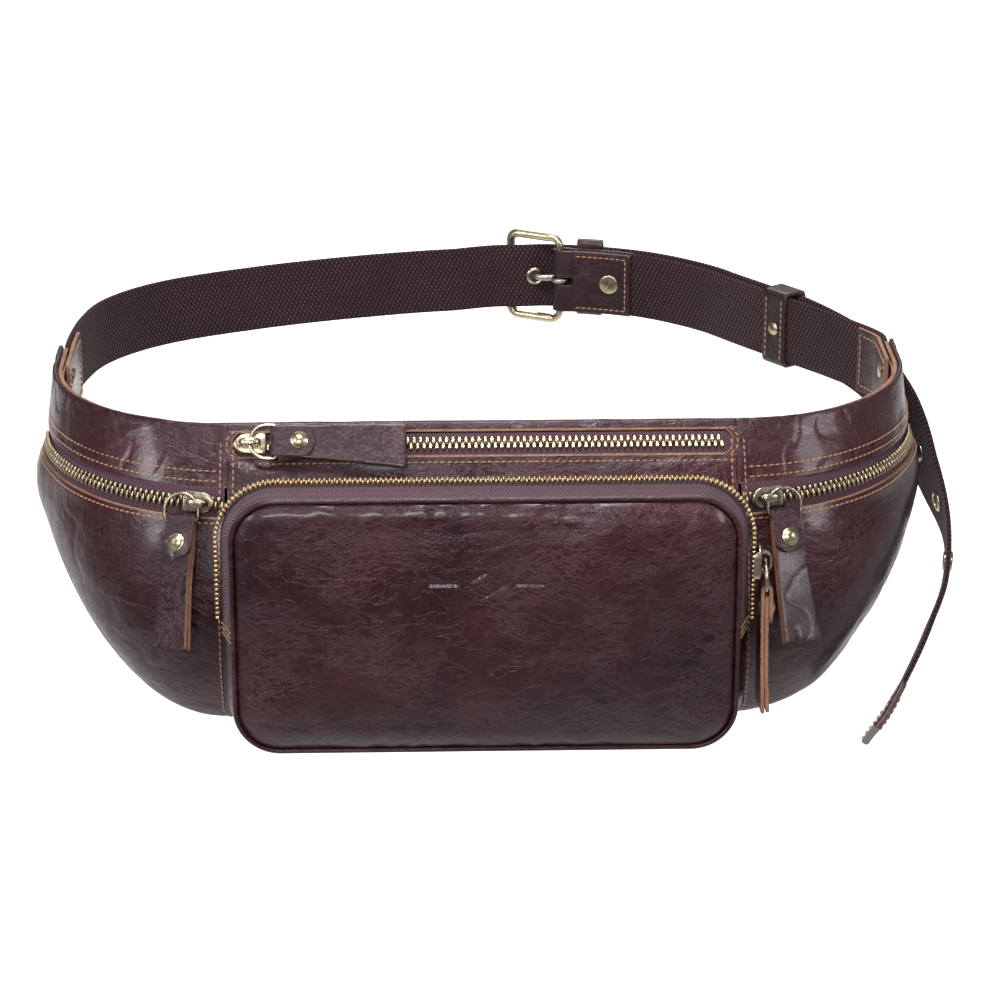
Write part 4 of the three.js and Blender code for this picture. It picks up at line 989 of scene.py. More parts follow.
def tab_layers(seed, lean, flare, twist):
    """The doubled leather pull: an outer strip folded round the ring's bar, and a second layer."""
    layer = 1.7

    def strip(middle, outward, down):
        half = lerp(TAB_TOP, TAB_BOTTOM, np.clip(down / TAB_LENGTH, 0, 1)) / 2
        share = np.linspace(-1, 1, 15)
        across = half[:, None] * share
        line = middle[:, None] + vec(1, 0, 0) * across[..., None]
        far = (down / TAB_LENGTH)[:, None] ** 2
        line[..., 0] += lean * far
        wave = flare * far + 0.8 * far * share * np.sin(3 + seed) + 0.2 * noise(line, 11, seed) * far
        push = vec(0, 0, 1) * wave[..., None]
        fold = -0.22 * creases(line @ np.array([[0.8, 0.6, 0], [-0.6, 0.8, 0], [0, 0, 1]]), 11, seed + 2)
        crumple = outward[:, None] * (fold * smooth(down / 20)[:, None])[..., None]
        outer = line + push + outward[:, None] * layer / 2 + crumple
        inner = line + push - outward[:, None] * layer / 2
        return slab(outer, inner)

    bar = (TAB_BACK + 0.35) / 2 + 0.35
    turn = np.linspace(0, math.pi, 13)
    front_z, back_z = TAB_FRONT - layer / 2, -TAB_BACK + layer / 2
    bend = np.stack([turn * 0, np.sin(turn) * bar, lerp(front_z, back_z, (1 - np.cos(turn)) / 2)], -1)
    flap_down = np.linspace(TAB_FLAP, 0.5, 30)
    back_down = np.linspace(0.5, TAB_LENGTH, 60)
    flap = np.stack([flap_down * 0, -flap_down, front_z + 0.25 * np.sin(flap_down / 6)], -1)
    back = np.stack([back_down * 0, -back_down, np.full(60, back_z)], -1)
    middle = np.concatenate([flap, bend, back])
    down = np.concatenate([flap_down, turn * 0, back_down])
    out = np.stack([down * 0, -np.gradient(middle[:, 2]), np.gradient(middle[:, 1])], -1)
    first = strip(middle, unit(out), down)
    keep = np.concatenate([flap_down, turn * 0 - 99, back_down * 0 - 99])
    near = np.sqrt(1 - np.clip((keep - (TAB_FLAP - 6.4)) / 6.4, 0, 0.985) ** 2)
    points = first[0].reshape(2, len(down), 15, 3)
    points[..., 0] *= near[:, None]
    first = (points.reshape(-1, 3), *first[1:])
    low = np.linspace(3.2, TAB_LENGTH - 0.6, 56)
    second_z = np.full(56, TAB_BODY - layer / 2) + 0.5 * smooth((low - 40) / 30)
    second = strip(np.stack([low * 0, -low, second_z], -1), np.broadcast_to(vec(0, 0, 1), (56, 3)), low)
    return [(twisted(part[0], twist), *part[1:]) for part in (first, second)]


def turned_shape(profile):
    """A shape turned about z from (radius, height) pairs that start and end on the axis."""
    profile = np.array(profile, float)
    sides = 28
    turn = np.linspace(0, 2 * math.pi, sides, endpoint=False)
    radius = np.maximum(profile[:, 0], 0.02)
    points = np.stack([radius[:, None] * np.cos(turn), radius[:, None] * np.sin(turn),
                       np.broadcast_to(profile[:, 1:2], (len(profile), sides))], -1)
    index = np.arange(len(profile) * sides).reshape(len(profile), sides)
    index = np.hstack([index, index[:, :1]])
    faces = grid_faces(index)
    ends = [index[0, :-1][::-1], index[-1, :-1]]
    return points.reshape(-1, 3), faces, np.zeros((len(faces), 4, 2)), np.zeros(len(faces), int), ends


def rivet_shape(low, high, radius, rise, shank):
    """A double-cap rivet along z, its domed cap with a rolled rim."""
    def cap(z, way, tall):
        pairs = [(shank, 0.05), (radius, 0.05), (radius * 1.02, 0.3), (radius * 0.97, 0.5),
                 (radius * 0.86, 0.55), (radius * 0.8, 0.5 + 0.2 * tall), (radius * 0.6, 0.45 + 0.62 * tall),
                 (radius * 0.3, 0.4 + 0.9 * tall), (0, 0.4 + tall)]
        return [(r, z + way * h) for r, h in pairs]

    return turned_shape(cap(low, -1, rise * 0.4)[::-1] + cap(high, 1, rise))


def make_pull(name, place, sideways, tilt, brass, seed, lean, flare, twist=0.0):
    """A slider with its ring and leather pull, one piece on each of the CAD's bodies."""
    at, along, across, up = place
    base = transform([along, across, up], at + up * SLIDER_LIFT)
    make_piece(f"{name}_slider_cast", [moved(p, base) for p in slider_parts()], [brass], f"{name}_slider",
               [f"{name}_slider"], 0.25)
    grip = SIDE_GRIP if sideways else 0
    ring_place = vec(RING_RADIUS * math.cos(grip), -RING_RADIUS * math.sin(grip), RING_LIFT)
    ring = base @ transform(place=ring_place) @ turn_about("z", 0 if sideways else math.pi / 2)
    wire = tube(ring_line(), RING_WIRE, 12, closed=True, normal=vec(0, 0, 1))
    make_piece(f"{name}_pull_ring_wire", moved(wire, ring), [brass], f"{name}_ring",
               [f"{name}_pull_ring"], creased=0)
    tab = ring @ transform(place=(0, -RING_LEG, 0)) @ turn_about("x", tilt)
    layers = [moved(p, tab) for p in tab_layers(seed, lean, flare, twist)]
    make_piece(f"{name}_pull_tab_leather", layers, [TAB_SKIN, TAB_SKIN, RAW_EDGE], f"{name}_tab",
               [f"{name}_pull_tab"], 0.3)
    cap = rivet_shape(-TAB_BACK, TAB_FRONT + 0.2, 4, 1.4, 1.3)
    cap = moved(cap, transform(place=(0, -TAB_RIVET, 0)))
    cap = moved((twisted(cap[0], twist), *cap[1:]), tab)
    make_piece(f"{name}_pull_rivet_cap", cap, [BRASS], f"{name}_tab", [f"{name}_pull_rivet"])


def make_main_zip():
    line, up = main_zip_line()
    zip_tape("main", line, up, TAPE_LIFT, 10.6)
    zip_chain("main", line, up, CHAIN_LIFT, 6, skip=(1, 1))
    for side, name in ((-1, "left"), (1, "right")):
        make_zip_end(side, name)
    rest = line[0] + vec(9, 0, 0)
    place = rest, vec(1, 0, 0), np.cross(up, vec(1, 0, 0)), up
    make_pull("main", place, False, 0, BRASS, 3, -3.0, 1.5)


def make_zip_end(side, name):
    """The rounded leather end of the main zip's window, with its cut edge and a line of stitches."""
    rows = np.linspace(-1.12, 1.12, 30)
    v = (MAIN_LOWER_V + MAIN_BAND_V) / 2 + rows * (MAIN_LOWER_V - MAIN_BAND_V) / 2
    inner_x = HALF_FLAT - 2.2 - 4.2 * np.abs(rows / 1.12) ** 2.6
    share = np.concatenate([[0], np.linspace(0.14, 1, 9)])
    x = side * (inner_x[:, None] + (HALF_FLAT + 0.4 - inner_x)[:, None] * share)
    base = skin(0.0, v)[:, None] * np.ones((1, len(share), 1))
    base[..., 0] = x
    up = skin_normal(0.0, v)[:, None]
    outer = base + up * 0.35
    part = show_cut(slab(outer, base - up * 1.6), outer.shape, ("top",))
    make_piece(f"main_zip_end_{name}", part, SKIN_AND_EDGE, "pack_body", (), 0.25)
    line = skin(0.0, v)
    line[:, 0] = side * np.minimum(inner_x + 2.6, HALF_FLAT + 0.2)
    stitch_row("pack_body", line + up[:, 0] * 0.35, up[:, 0])


def make_wing_zip(side, name, seed):
    turns = np.radians(np.linspace(6, 86, 110))
    line, _, _, up = wing_zip_at(side, turns)
    if side < 0:
        line, up = line[::-1], up[::-1]
    zip_tape(name, line, up, TAPE_LIFT, 14)
    zip_chain(name, line, up, CHAIN_LIFT, 6, metal=DARK_TOOTH)
    place = wing_zip_at(side, math.radians(12.5))
    twist = math.radians(30 if side < 0 else 14)
    make_pull(name, place, True, math.radians(-10), DARK_BRASS, seed, side * 1.5, 0.5, twist)


# ---------- front pocket ----------
def outline(u, grow):
    """A point (x, z) of the pocket's outline, grown outwards, and the way out of it; u runs once
    round from the middle of the base towards +X."""
    u, grow = np.broadcast_arrays(np.asarray(u, float), np.asarray(grow, float))
    half = POCKET_HALF + grow
    low = np.maximum(POCKET_LOW - grow * 0.1, 0)
    high = POCKET_HIGH + grow * 0.6
    r = POCKET_CORNER + grow
    side, upright, quarter = half - r, high - low - 2 * r, r * math.pi / 2
    lengths = [side, quarter, upright, quarter, 2 * side, quarter, upright, quarter, side]
    run = (u % 1.0) * sum(lengths)
    x, z = np.zeros_like(run), np.zeros_like(run)
    ox, oz = np.zeros_like(run), np.zeros_like(run)
    start = np.zeros_like(run)
    corners = {1: (1, 0, -90), 3: (1, 1, 0), 5: (-1, 1, 90), 7: (-1, 0, 180)}
    straights = {0: (0, low, 1, 0, 0, -1), 2: (half, low + r, 0, 1, 1, 0), 4: (side, high, -1, 0, 0, 1),
                 6: (-half, high - r, 0, -1, -1, 0), 8: (-side, low, 1, 0, 0, -1)}
    for k, length in enumerate(lengths):
        on = (run >= start) & ((run < start + length) | (k == 8))
        t = run - start
        if k in straights:
            x0, z0, dx, dz, nx, nz = straights[k]
            values = (x0 + dx * t, z0 + dz * t, nx + 0 * t, nz + 0 * t)
        else:
            sx, top, first = corners[k]
            angle = np.radians(first) + t / r
            cx, cz = sx * side, np.where(top, high - r, low + r)
            values = (cx + r * np.cos(angle), cz + r * np.sin(angle), np.cos(angle), np.sin(angle))
        for field, value in zip((x, z, ox, oz), values):
            field[on] = np.broadcast_to(value, run.shape)[on]
        start = start + length
    return x, z, ox, oz


def pocket_band(u, front, back, grow_front, grow_back, cols, swell):
    """A band round the pocket: a grid from its front edge to its back edge."""
    j = np.linspace(0, 1, cols + 1)
    x, z, ox, oz = outline(u[:, None], lerp(grow_front, grow_back, j)[None])
    depth = np.broadcast_to(lerp(front, back, j), x.shape)
    bulge = swell * np.sin(math.pi * j)
    return np.stack([x + bulge * ox, -depth, z + bulge * oz], -1), np.stack([ox, ox * 0, oz], -1)


def emboss(x, z):
    """A plain pressed ornament: a lozenge between two short bars."""
    cx, cz = 0.0, 86.0
    dx, dz = np.abs(x - cx), np.abs(z - cz)
    lozenge = np.abs(dx / 9 + dz / 5.5 - 1) * 4.5
    bars = np.hypot(np.maximum(dx - 26, 0) + np.maximum(13 - dx, 0), dz)
    return -0.9 * np.exp(-(np.minimum(lozenge, bars) / 0.9) ** 4)


def make_pocket_front():
    a = np.linspace(-1, 1, 261)[:, None]
    b = np.linspace(-1, 1, 139)[None]
    a, b = np.broadcast_arrays(a, b)
    half = POCKET_HALF - 0.6
    middle = (POCKET_LOW + POCKET_HIGH) / 2
    tall = (POCKET_HIGH - POCKET_LOW) / 2 - 0.6
    m = np.maximum(np.maximum(np.abs(a), np.abs(b)), 1e-6)
    qx, qz = a / m * half, b / m * tall
    dx = np.maximum(np.abs(qx) - (half - POCKET_CORNER), 0)
    dz = np.maximum(np.abs(qz) - (tall - POCKET_CORNER), 0)
    reach = np.maximum(np.hypot(dx, dz), 1e-6)
    in_corner = (dx > 0) & (dz > 0)
    rx = np.where(in_corner, np.sign(qx) * (half - POCKET_CORNER + POCKET_CORNER * dx / reach), qx)
    rz = np.where(in_corner, np.sign(qz) * (tall - POCKET_CORNER + POCKET_CORNER * dz / reach), qz)
    x = a * half + (rx - qx) * m ** 4
    z = middle + b * tall + (rz - qz) * m ** 4
    edge = np.minimum(half - np.abs(x), tall - np.abs(z - middle))
    corner_x = np.maximum(np.abs(x) - (half - POCKET_CORNER), 0)
    corner_z = np.maximum(np.abs(z - middle) - (tall - POCKET_CORNER), 0)
    edge = np.where((corner_x > 0) & (corner_z > 0), POCKET_CORNER - np.hypot(corner_x, corner_z), edge)
    edge = np.maximum(edge, 0)
    roll = 1 - np.maximum(1 - edge / 11, 0) ** 2.4
    shoulder = 1 - np.maximum(1 - edge / 42, 0) ** 2
    crown = POCKET_DOME * (1 - np.abs(a) ** 4) * (1 - np.abs(b) ** 4)
    depth = POCKET_FRONT + 0.4 + 3.6 * roll + 4.2 * shoulder + 0.25 * crown
    points = np.stack([x, -depth, z], -1)
    mask = smooth(edge / 14)
    lift = (2.2 * noise(points, 58, 60) + 0.7 * noise(points, 24, 61)) * mask
    lift -= 0.7 * creases(points * (0.55, 1, 1.35), 22, 62) * mask * smooth(noise(points, 50, 63) + 0.55)
    lift -= 0.3 * creases(points * (0.8, 1, 1.2), 10, 67) * mask * smooth(noise(points, 35, 68) + 0.4)
    lift += 0.12 * noise(points, 6, 64) * mask
    around = np.arctan2(points[..., 2] - middle, points[..., 0]) * 95
    gathers = 0.6 * noise(np.stack([around, edge * 0, edge * 0], -1), 6, 66)
    lift += gathers * np.exp(-edge / 6) * smooth(edge / 2)
    lift += emboss(x, z)
    points[..., 1] -= lift
    inner = points + vec(0, LEATHER, 0)
    make_piece("pocket_front_leather", slab(points, inner), SKIN_AND_EDGE, "pack_body",
               ["pocket_front"], EDGE_ROUND)


def make_pocket_sides():
    zip_back = POCKET_FRONT - POCKET_ZIP_BACK
    front = POCKET_FRONT - 0.2
    u = np.linspace(ZIP_FROM, ZIP_FROM + ZIP_SHARE, 260)
    outer, out = pocket_band(u, front + 0.6, zip_back - 3.5, 0.5, POCKET_GROW - 1.2, 16, 0.5)
    make_piece("pocket_zip_tape_woven", slab(outer, outer - out * TAPE_THICK), [TAPE], "pack_body",
               ["pocket_zip_tape"], 0.15)
    x, z, ox, oz = outline(u, POCKET_GROW - 0.6)
    line = np.stack([x, np.full_like(x, -zip_back), z], -1)
    zip_chain("pocket", line, np.stack([ox, ox * 0, oz], -1), GAP + CHAIN_THICK / 2, 5,
              metal=POCKET_TOOTH, pitch=FINE_PITCH)

    u = np.linspace(ZIP_FROM - 1 + ZIP_SHARE + 0.001, ZIP_FROM - 0.001, 260)
    outer, out = pocket_band(u, front, zip_back - 3.5, 0.5, POCKET_GROW - 1.2, 16, 0.8)
    outer = outer + out * (0.3 * noise(outer, 12, 71) * border_share(outer, 4))[..., None]
    make_piece("pocket_lower_gusset_leather", slab(outer, outer - out * LEATHER), SKIN_AND_EDGE, "pack_body",
               ["pocket_lower_gusset"], EDGE_ROUND)
    for start in (ZIP_FROM - 0.004, 1 - ZIP_FROM + 0.004):
        for step in (-0.0035, 0.0, 0.0035):
            x, z, ox, oz = outline(np.full(9, start + step), np.linspace(0.9, POCKET_GROW - 1.5, 9))
            bar = np.stack([x, -np.linspace(front - 1, zip_back - 2.5, 9), z], -1)
            away = np.stack([ox, ox * 0, oz], -1)
            stitch_row("pack_body", bar + away * 0.75, away, 2.6)

    u = np.linspace(0, 1, 420, endpoint=False)
    j = np.linspace(0, 1, 17)
    x, z, ox, oz = outline(u[:, None], POCKET_GROW - 1.2)
    inset = (9 + 8 * np.clip(oz, 0, 1)) * smooth(j * 1.05) ** 0.8
    px, pz = x - inset * ox, np.maximum(z - inset * oz, 3)
    foot = skin_depth(np.zeros_like(pz), np.zeros_like(pz), (HEIGHT - pz) / HEIGHT) + 1.2
    start = zip_back - 3.8
    py = -(start + (foot - start) * j)
    outer = np.stack([px, py, pz], -1)
    out = np.stack([ox, ox * 0, oz], -1) * np.ones_like(px)[..., None]
    ripple = 0.5 * noise(outer, 16, 75) + 0.25 * noise(outer, 6, 76)
    outer = outer + out * (ripple * smooth(j * 3) * smooth((1 - j) * 4))[..., None]
    make_piece("pocket_gusset_leather", slab(outer, outer - out * LEATHER, looped=True), SKIN_AND_EDGE,
               "pack_body", ["pocket_gusset"], EDGE_ROUND)
    row = outer[:, 2] + out[:, 2] * 0.05
    stitch_row("pack_body", np.concatenate([row, row[:1]]), np.concatenate([out[:, 2], out[:1, 2]]))

    x, z, ox, oz = outline(np.linspace(0, 1, 400, endpoint=False), 0.4)
    pipe = np.stack([x, np.full_like(x, -(POCKET_FRONT + 0.9)), z], -1)
    make_piece("pocket_piping_cord", tube(pipe, 1.25, 10, closed=True, normal=vec(0, 1, 0)), [LEATHER_SKIN],
               "pack_body", ["pocket_piping"], creased=0)


def make_pocket_pull():
    zip_back = POCKET_FRONT - POCKET_ZIP_BACK
    at = vec(POCKET_HALF + POCKET_GROW + GAP - CHAIN_LIFT + CHAIN_THICK / 2, -zip_back, POCKET_SLIDER_Z)
    up, along = vec(1, 0, 0), vec(0, 0, -1)
    make_pull("pocket", (at, along, np.cross(up, along), up), False, 0, DARK_BRASS, 9, 0.5, 0.8)


# ---------- belt ----------
START = HALF_FLAT + WING_RADIUS + WEB_THICK / 2 - 0.2
WING_TIP = WING_RADIUS + WING_STRAIGHT + 0.4


class Curve:
    """A centripetal Catmull-Rom line through points, measured along its length."""

    def __init__(self, points, samples=120):
        points = np.asarray(points, float)
        ends = [2 * points[0] - points[1]], [2 * points[-1] - points[-2]]
        p = np.concatenate([ends[0], points, ends[1]])
        dense = []
        for i in range(1, len(p) - 2):
            a, b, c, d = p[i - 1:i + 3]
            knots = np.cumsum([0, *[np.linalg.norm(k) ** 0.5 for k in (b - a, c - b, d - c)]])
            t = np.linspace(knots[1], knots[2], samples, endpoint=False)[:, None]

            def blend(m, n, i0, i1):
                return ((knots[i1] - t) * m + (t - knots[i0]) * n) / (knots[i1] - knots[i0])

            one, two, three = blend(a, b, 0, 1), blend(b, c, 1, 2), blend(c, d, 2, 3)
            dense.append(blend(blend(one, two, 0, 2), blend(two, three, 1, 3), 1, 2))
        dense.append(points[-1:])
        self.line = np.concatenate(dense)
        self.run = arc_lengths(self.line, 0)
        self.length = self.run[-1]

    def at(self, s):
        return np.stack([np.interp(s, self.run, self.line[:, k]) for k in range(self.line.shape[1])], -1)

    def tangent(self, s):
        low, high = np.clip(np.asarray(s) - 0.5, 0, self.length), np.clip(np.asarray(s) + 0.5, 0, self.length)
        return unit(self.at(high) - self.at(low))


BELT = Curve([(-START, WING_TIP), (-START, WING_TIP + 12), (-200, 158), (-191, 188), (-166, 217), (-113, 245),
              (-40, 268), (6, 275), (50, 273), (90, 260), (120, 237), (136, 216), (152, 195), (168, 174),
              (184, 153), (START - 0.6, WING_TIP + 10), (START, WING_TIP)])


def on_belt(s, out, z):
    """Belt coordinates into place: s along the belt, out away from the wearer, z from its middle."""
    s, out, z = np.broadcast_arrays(*(np.asarray(k, float) for k in (s, out, z)))
    inside = np.clip(s, 0, BELT.length)
    t = BELT.tangent(inside)
    p = BELT.at(inside) + t * (s - inside)[..., None]
    return np.stack([p[..., 0] - t[..., 1] * out, p[..., 1] + t[..., 0] * out, WEB_MID + z], -1)


def station_at_x(x):
    s = np.arange(BELT.length * 0.4, BELT.length * 0.95, 0.5)
    return float(s[np.argmin(np.abs(BELT.at(s)[:, 0] - x))])


HEEL = station_at_x(48)
KEEPER = station_at_x(158)
PRONG_EYELET = HEEL - 13.8


def long_offset(s):
    return 5.2 * smooth((s - (HEEL - 62)) / 32) + (OVERLAP_OFFSET - 5.2) * smooth((s - (HEEL - 24)) / 18)


TAIL = Curve([on_belt(KEEPER - 2, OVERLAP_OFFSET, 0), on_belt(KEEPER + 14, OVERLAP_OFFSET, 0),
              (197, 147, 112), (213, 110, 98), (223, 83, 76), (229.5, 60, 55), (226.5, 40, 37),
              (216, 20, 19), (204, 4, 1), (193, -8, -13), (185, -15, -21)])
TAIL_END_ACROSS = vec(-0.137, -0.916, 0.377)
TAIL_EYELETS = [0.435, 0.535, 0.65]
TIP_FROM = 0.923


def tail_frames(u):
    u = np.asarray(u, float)
    t = TAIL.tangent(u * TAIL.length)
    twist = smooth((u - 0.35) / 0.4)[..., None]
    wide = lerp(vec(0, 0, 1), TAIL_END_ACROSS, twist)
    across = unit(wide - t * np.sum(wide * t, -1, keepdims=True))
    return TAIL.at(u * TAIL.length), across, -np.cross(t, across)


def belt_frames(s, out):
    place = on_belt(s, out, 0)
    t = unit(np.gradient(place, axis=0))
    up = -np.cross(t, vec(0, 0, 1))
    return place, np.broadcast_to(vec(0, 0, 1), place.shape), up


def strap(name, place, across, up, width, thick, material, stands_for, seed):
    """A flat strap along frames, its edges a little rounded and its run a little wavy."""
    share = np.linspace(-1, 1, 25)
    lines = place[:, None] + across[:, None] * (share * width / 2)[:, None]
    sway = 0.35 * noise(lines, 30, seed)[..., None] * up[:, None]
    half = thick / 2 * (1 - 0.45 * np.abs(share) ** 14)
    outer = lines + sway + up[:, None] * half[:, None]
    inner = lines + sway - up[:, None] * half[:, None]
    make_piece(name, slab(outer, inner), material, "pack_body", stands_for, 0.4)


def make_straps():
    s = np.linspace(0, KEEPER - 2, 520)
    place, across, up = belt_frames(s, long_offset(s))
    u = np.linspace(0, 1, 240)
    tail_place, tail_across, tail_up = tail_frames(u)
    split = int(TIP_FROM * len(u))
    place = np.concatenate([place[:-1], tail_place[:split]])
    across = np.concatenate([across[:-1], tail_across[:split]])
    up = np.concatenate([up[:-1], tail_up[:split]])
    strap("belt_strap_long_webbing", place, across, up, WEB_WIDTH, WEB_THICK, [WEBBING], ["belt_strap_long"],
          81)
    tip = slice(split - 4, None)
    strap("strap_tip_leather", tail_place[tip], tail_across[tip], tail_up[tip], WEB_WIDTH, WEB_THICK + 1.2,
          SMALL_LEATHER, ["strap_tip"], 82)
    s = np.linspace(HEEL + 9, BELT.length, 200)
    place, across, up = belt_frames(s, 0)
    strap("belt_strap_short_webbing", place, across, up, WEB_WIDTH, WEB_THICK, [WEBBING],
          ["belt_strap_short"], 83)
    rows = tail_place[split + 2:], tail_across[split + 2:], tail_up[split + 2:]
    for shift in (-0.42, 0.42):
        line = rows[0] + rows[1] * shift * WEB_WIDTH
        stitch_row("pack_body", line + rows[2] * (WEB_THICK / 2 + 0.6), rows[2])
        stitch_row("pack_body", line - rows[2] * (WEB_THICK / 2 + 0.6), -rows[2])


def eyelet_shape():
    half = WEB_THICK / 2
    rim = [(3.2, 0.2), (3.3, 0.9), (3.9, 1.15), (4.7, 0.8), (5.0, 0.25), (5.0, 0.05), (3.9, 0)]
    profile = np.array([(r, half + h) for r, h in rim] + [(r, -half - h) for r, h in rim[::-1]])
    turn = np.linspace(0, 2 * math.pi, 28, endpoint=False)
    points = np.stack([profile[:, 0] * np.cos(turn)[:, None], profile[:, 0] * np.sin(turn)[:, None],
                       np.broadcast_to(profile[:, 1], (28, len(profile)))], -1)
    index = np.arange(28 * len(profile)).reshape(28, len(profile))
    index = np.vstack([index, index[:1]])
    index = np.hstack([index, index[:, :1]])
    faces = grid_faces(index)
    return points.reshape(-1, 3), faces, np.zeros((len(faces), 4, 2)), np.zeros(len(faces), int)


def make_eyelets():
    s = np.array([PRONG_EYELET - 1, PRONG_EYELET, PRONG_EYELET + 1])
    place, across, up = belt_frames(s, long_offset(s))
    spots = [(place[1], across[1], up[1])]
    tail = tail_frames(np.array(TAIL_EYELETS))
    spots += list(zip(*tail))
    face = WEB_THICK / 2 + 0.12
    # A dark lining-coloured disc covers the uncut webbing in each eyelet: painted shade standing in for the
    # open hole.
    painted_hole_shade = turned_shape([(0, -face), (3.25, -face), (3.25, face), (0, face)])
    for k, (at, wide, out) in enumerate(spots):
        base = transform([np.cross(wide, out), wide, out], at)
        make_piece(f"eyelet_{k + 1}_flange", moved(eyelet_shape(), base), [DARK_BRASS], "pack_body",
                   [f"eyelet_{k + 1}"])
        make_piece(f"eyelet_{k + 1}_hole", moved(painted_hole_shade, base), [LINING], "pack_body")


def make_chape():
    """Leather folded round the buckle's heel bar, over both faces of the short strap."""
    slot, skin_thick = WEB_THICK / 2 + GAP, 2.0
    high = (WEB_WIDTH - 1) / 2
    eye = WIRE + 0.35 + skin_thick / 2
    middle = slot + skin_thick / 2
    run = np.linspace(40, 3, 44)
    turn = np.linspace(math.pi / 2, 3 * math.pi / 2, 21)
    path = np.concatenate([
        np.stack([run, middle + (eye - middle) * smooth((9 - run) / 7)], -1),
        np.stack([1.2 + 0 * turn + (eye + 0.6) * np.cos(turn), eye * np.sin(turn)], -1),
        np.stack([run[::-1], -middle - (eye - middle) * smooth((9 - run[::-1]) / 7)], -1)])
    gap = unit(np.gradient(path, axis=0))
    side = np.stack([-gap[:, 1], gap[:, 0]], -1) * skin_thick / 2
    parts = []
    flap = 39
    bend = slice(flap - 1, 1 - flap)
    for low_z, high_z, rows in ((-high, high, slice(0, flap)), (-high, high, slice(-flap, None)),
                                (-high, -2.2, bend), (2.2, high, bend)):
        z = np.linspace(low_z, high_z, 9)
        line, push = path[rows], side[rows]
        grids = []
        for way in (-1, 1):
            p = line + way * push
            s = np.broadcast_to(HEEL + p[:, :1], (len(p), 9))
            grids.append(on_belt(s, np.broadcast_to(p[:, 1:], s.shape), np.broadcast_to(z, s.shape)))
        parts.append(slab(grids[0], grids[1]))
    make_piece("buckle_chape_leather", parts, SMALL_LEATHER, "pack_body", ["buckle_chape"],
               0.3)
    for way in (-1, 1):
        lift = way * (slot + skin_thick + 0.05)
        s = np.concatenate([np.linspace(9, 37.5, 20), np.full(30, 37.5), np.linspace(37.5, 9, 20)]) + HEEL
        edge = high - 2.6
        z = np.concatenate([np.full(20, edge), np.linspace(edge, -edge, 30), np.full(20, -edge)])
        normal = unit(on_belt(s, lift + way, z) - on_belt(s, lift, z))
        stitch_row("pack_body", on_belt(s, lift, z), normal)
    cap = rivet_shape(-slot - skin_thick, slot + skin_thick, 5, 1.3, 1.5)
    make_piece("chape_rivet_cap", moved(cap, belt_basis(HEEL + 28)), [BRASS], "pack_body",
               ["chape_rivet"])


def belt_basis(s, out=0.0):
    """Axes at a belt station: x down the belt's height, y along it, z outwards."""
    t = BELT.tangent(s)
    along, outward = vec(t[0], t[1], 0), vec(-t[1], t[0], 0)
    return transform([np.cross(along, outward), along, outward], on_belt(s, out, 0))


def buckle_basis():
    t = BELT.tangent(HEEL)
    return transform([vec(t[0], t[1], 0), vec(-t[1], t[0], 0), vec(0, 0, 1)], on_belt(HEEL, 0, 0))


def make_buckle():
    base = buckle_basis()
    slope = math.atan2(FAR_BAR_OUT, BUCKLE_REACH)
    reach = math.hypot(FAR_BAR_OUT, BUCKLE_REACH)
    flat = rounded_box(-reach, 0, BUCKLE_HALF, 5.0, 10, 120)
    line = np.stack([flat[:, 0] * math.cos(slope), -flat[:, 0] * math.sin(slope), flat[:, 1]], -1)
    normal = vec(math.sin(slope), math.cos(slope), 0)
    stout = WIRE + 0.45 * smooth((-flat[:, 0] - 3) / 4)
    wire = tube(line, stout, 16, closed=True, normal=normal)
    make_piece("buckle_frame_wire", moved(wire, base), [BRASS], "buckle_frame",
               ["buckle_frame"], creased=0)
    prong = Curve([(-1.5, 2.6, 0), (-5, 2.2, 0), (-9.5, 1.6, 0), (-13.6, 3.6, 0), (-15.2, 7.6, 0),
                   (-19, 11.6, 0), (-26, 13.4, 0), (-33.5, 12.6, 0)])
    s = np.linspace(0, prong.length, 60)
    taper = 1 - 0.25 * smooth((s / prong.length - 0.6) / 0.4)
    radius = 1.9 * taper * np.sqrt(np.clip((prong.length - s) / 1.5, 0.05, 1))
    bar = tube(prong.at(s), radius, 12, normal=vec(0, 0, 1), flat=0.7)
    turn = np.linspace(0, 2 * math.pi, 40, endpoint=False)
    eye = np.stack([(WIRE + 1.5) * np.cos(turn), (WIRE + 1.5) * np.sin(turn), turn * 0], -1)
    loop = tube(eye, 1.35, 12, closed=True, normal=vec(0, 0, 1), flat=1.0)
    make_piece("buckle_prong_wire", [moved(bar, base), moved(loop, base)], [DULL_STEEL], "buckle_prong",
               ["buckle_prong"], creased=0)


def loop_part(s_middle, width, inner, outer, half_inner, half_outer):
    """A leather loop round the straps, in belt coordinates: a rounded frame of (out, z)."""
    mid_in, mid_out = sum(inner) / 2, sum(outer) / 2
    mid_half = (half_inner + half_outer) / 2
    thick = np.array([outer[1] - outer[0], half_outer - half_inner, inner[1] - inner[0]])
    centre_out = (mid_in + mid_out) / 2
    a = (mid_out - mid_in) / 2
    flat = rounded_box(-a, a, mid_half, min(a, 2.2), 7, 110)
    ahead = np.roll(flat, -1, 0) - np.roll(flat, 1, 0)
    out = unit(np.stack([ahead[:, 1], -ahead[:, 0]], -1))
    half = float(thick.mean()) / 2
    s = s_middle + np.linspace(-width / 2, width / 2, 9)
    grids = []
    for way in (1, -1):
        p = flat + out * half * way
        grid_s = np.broadcast_to(s, (len(p), 9))
        grids.append(on_belt(grid_s, np.broadcast_to(centre_out + p[:, :1], grid_s.shape),
                             np.broadcast_to(p[:, 1:], grid_s.shape)))
    return slab(grids[0], grids[1], looped=True)


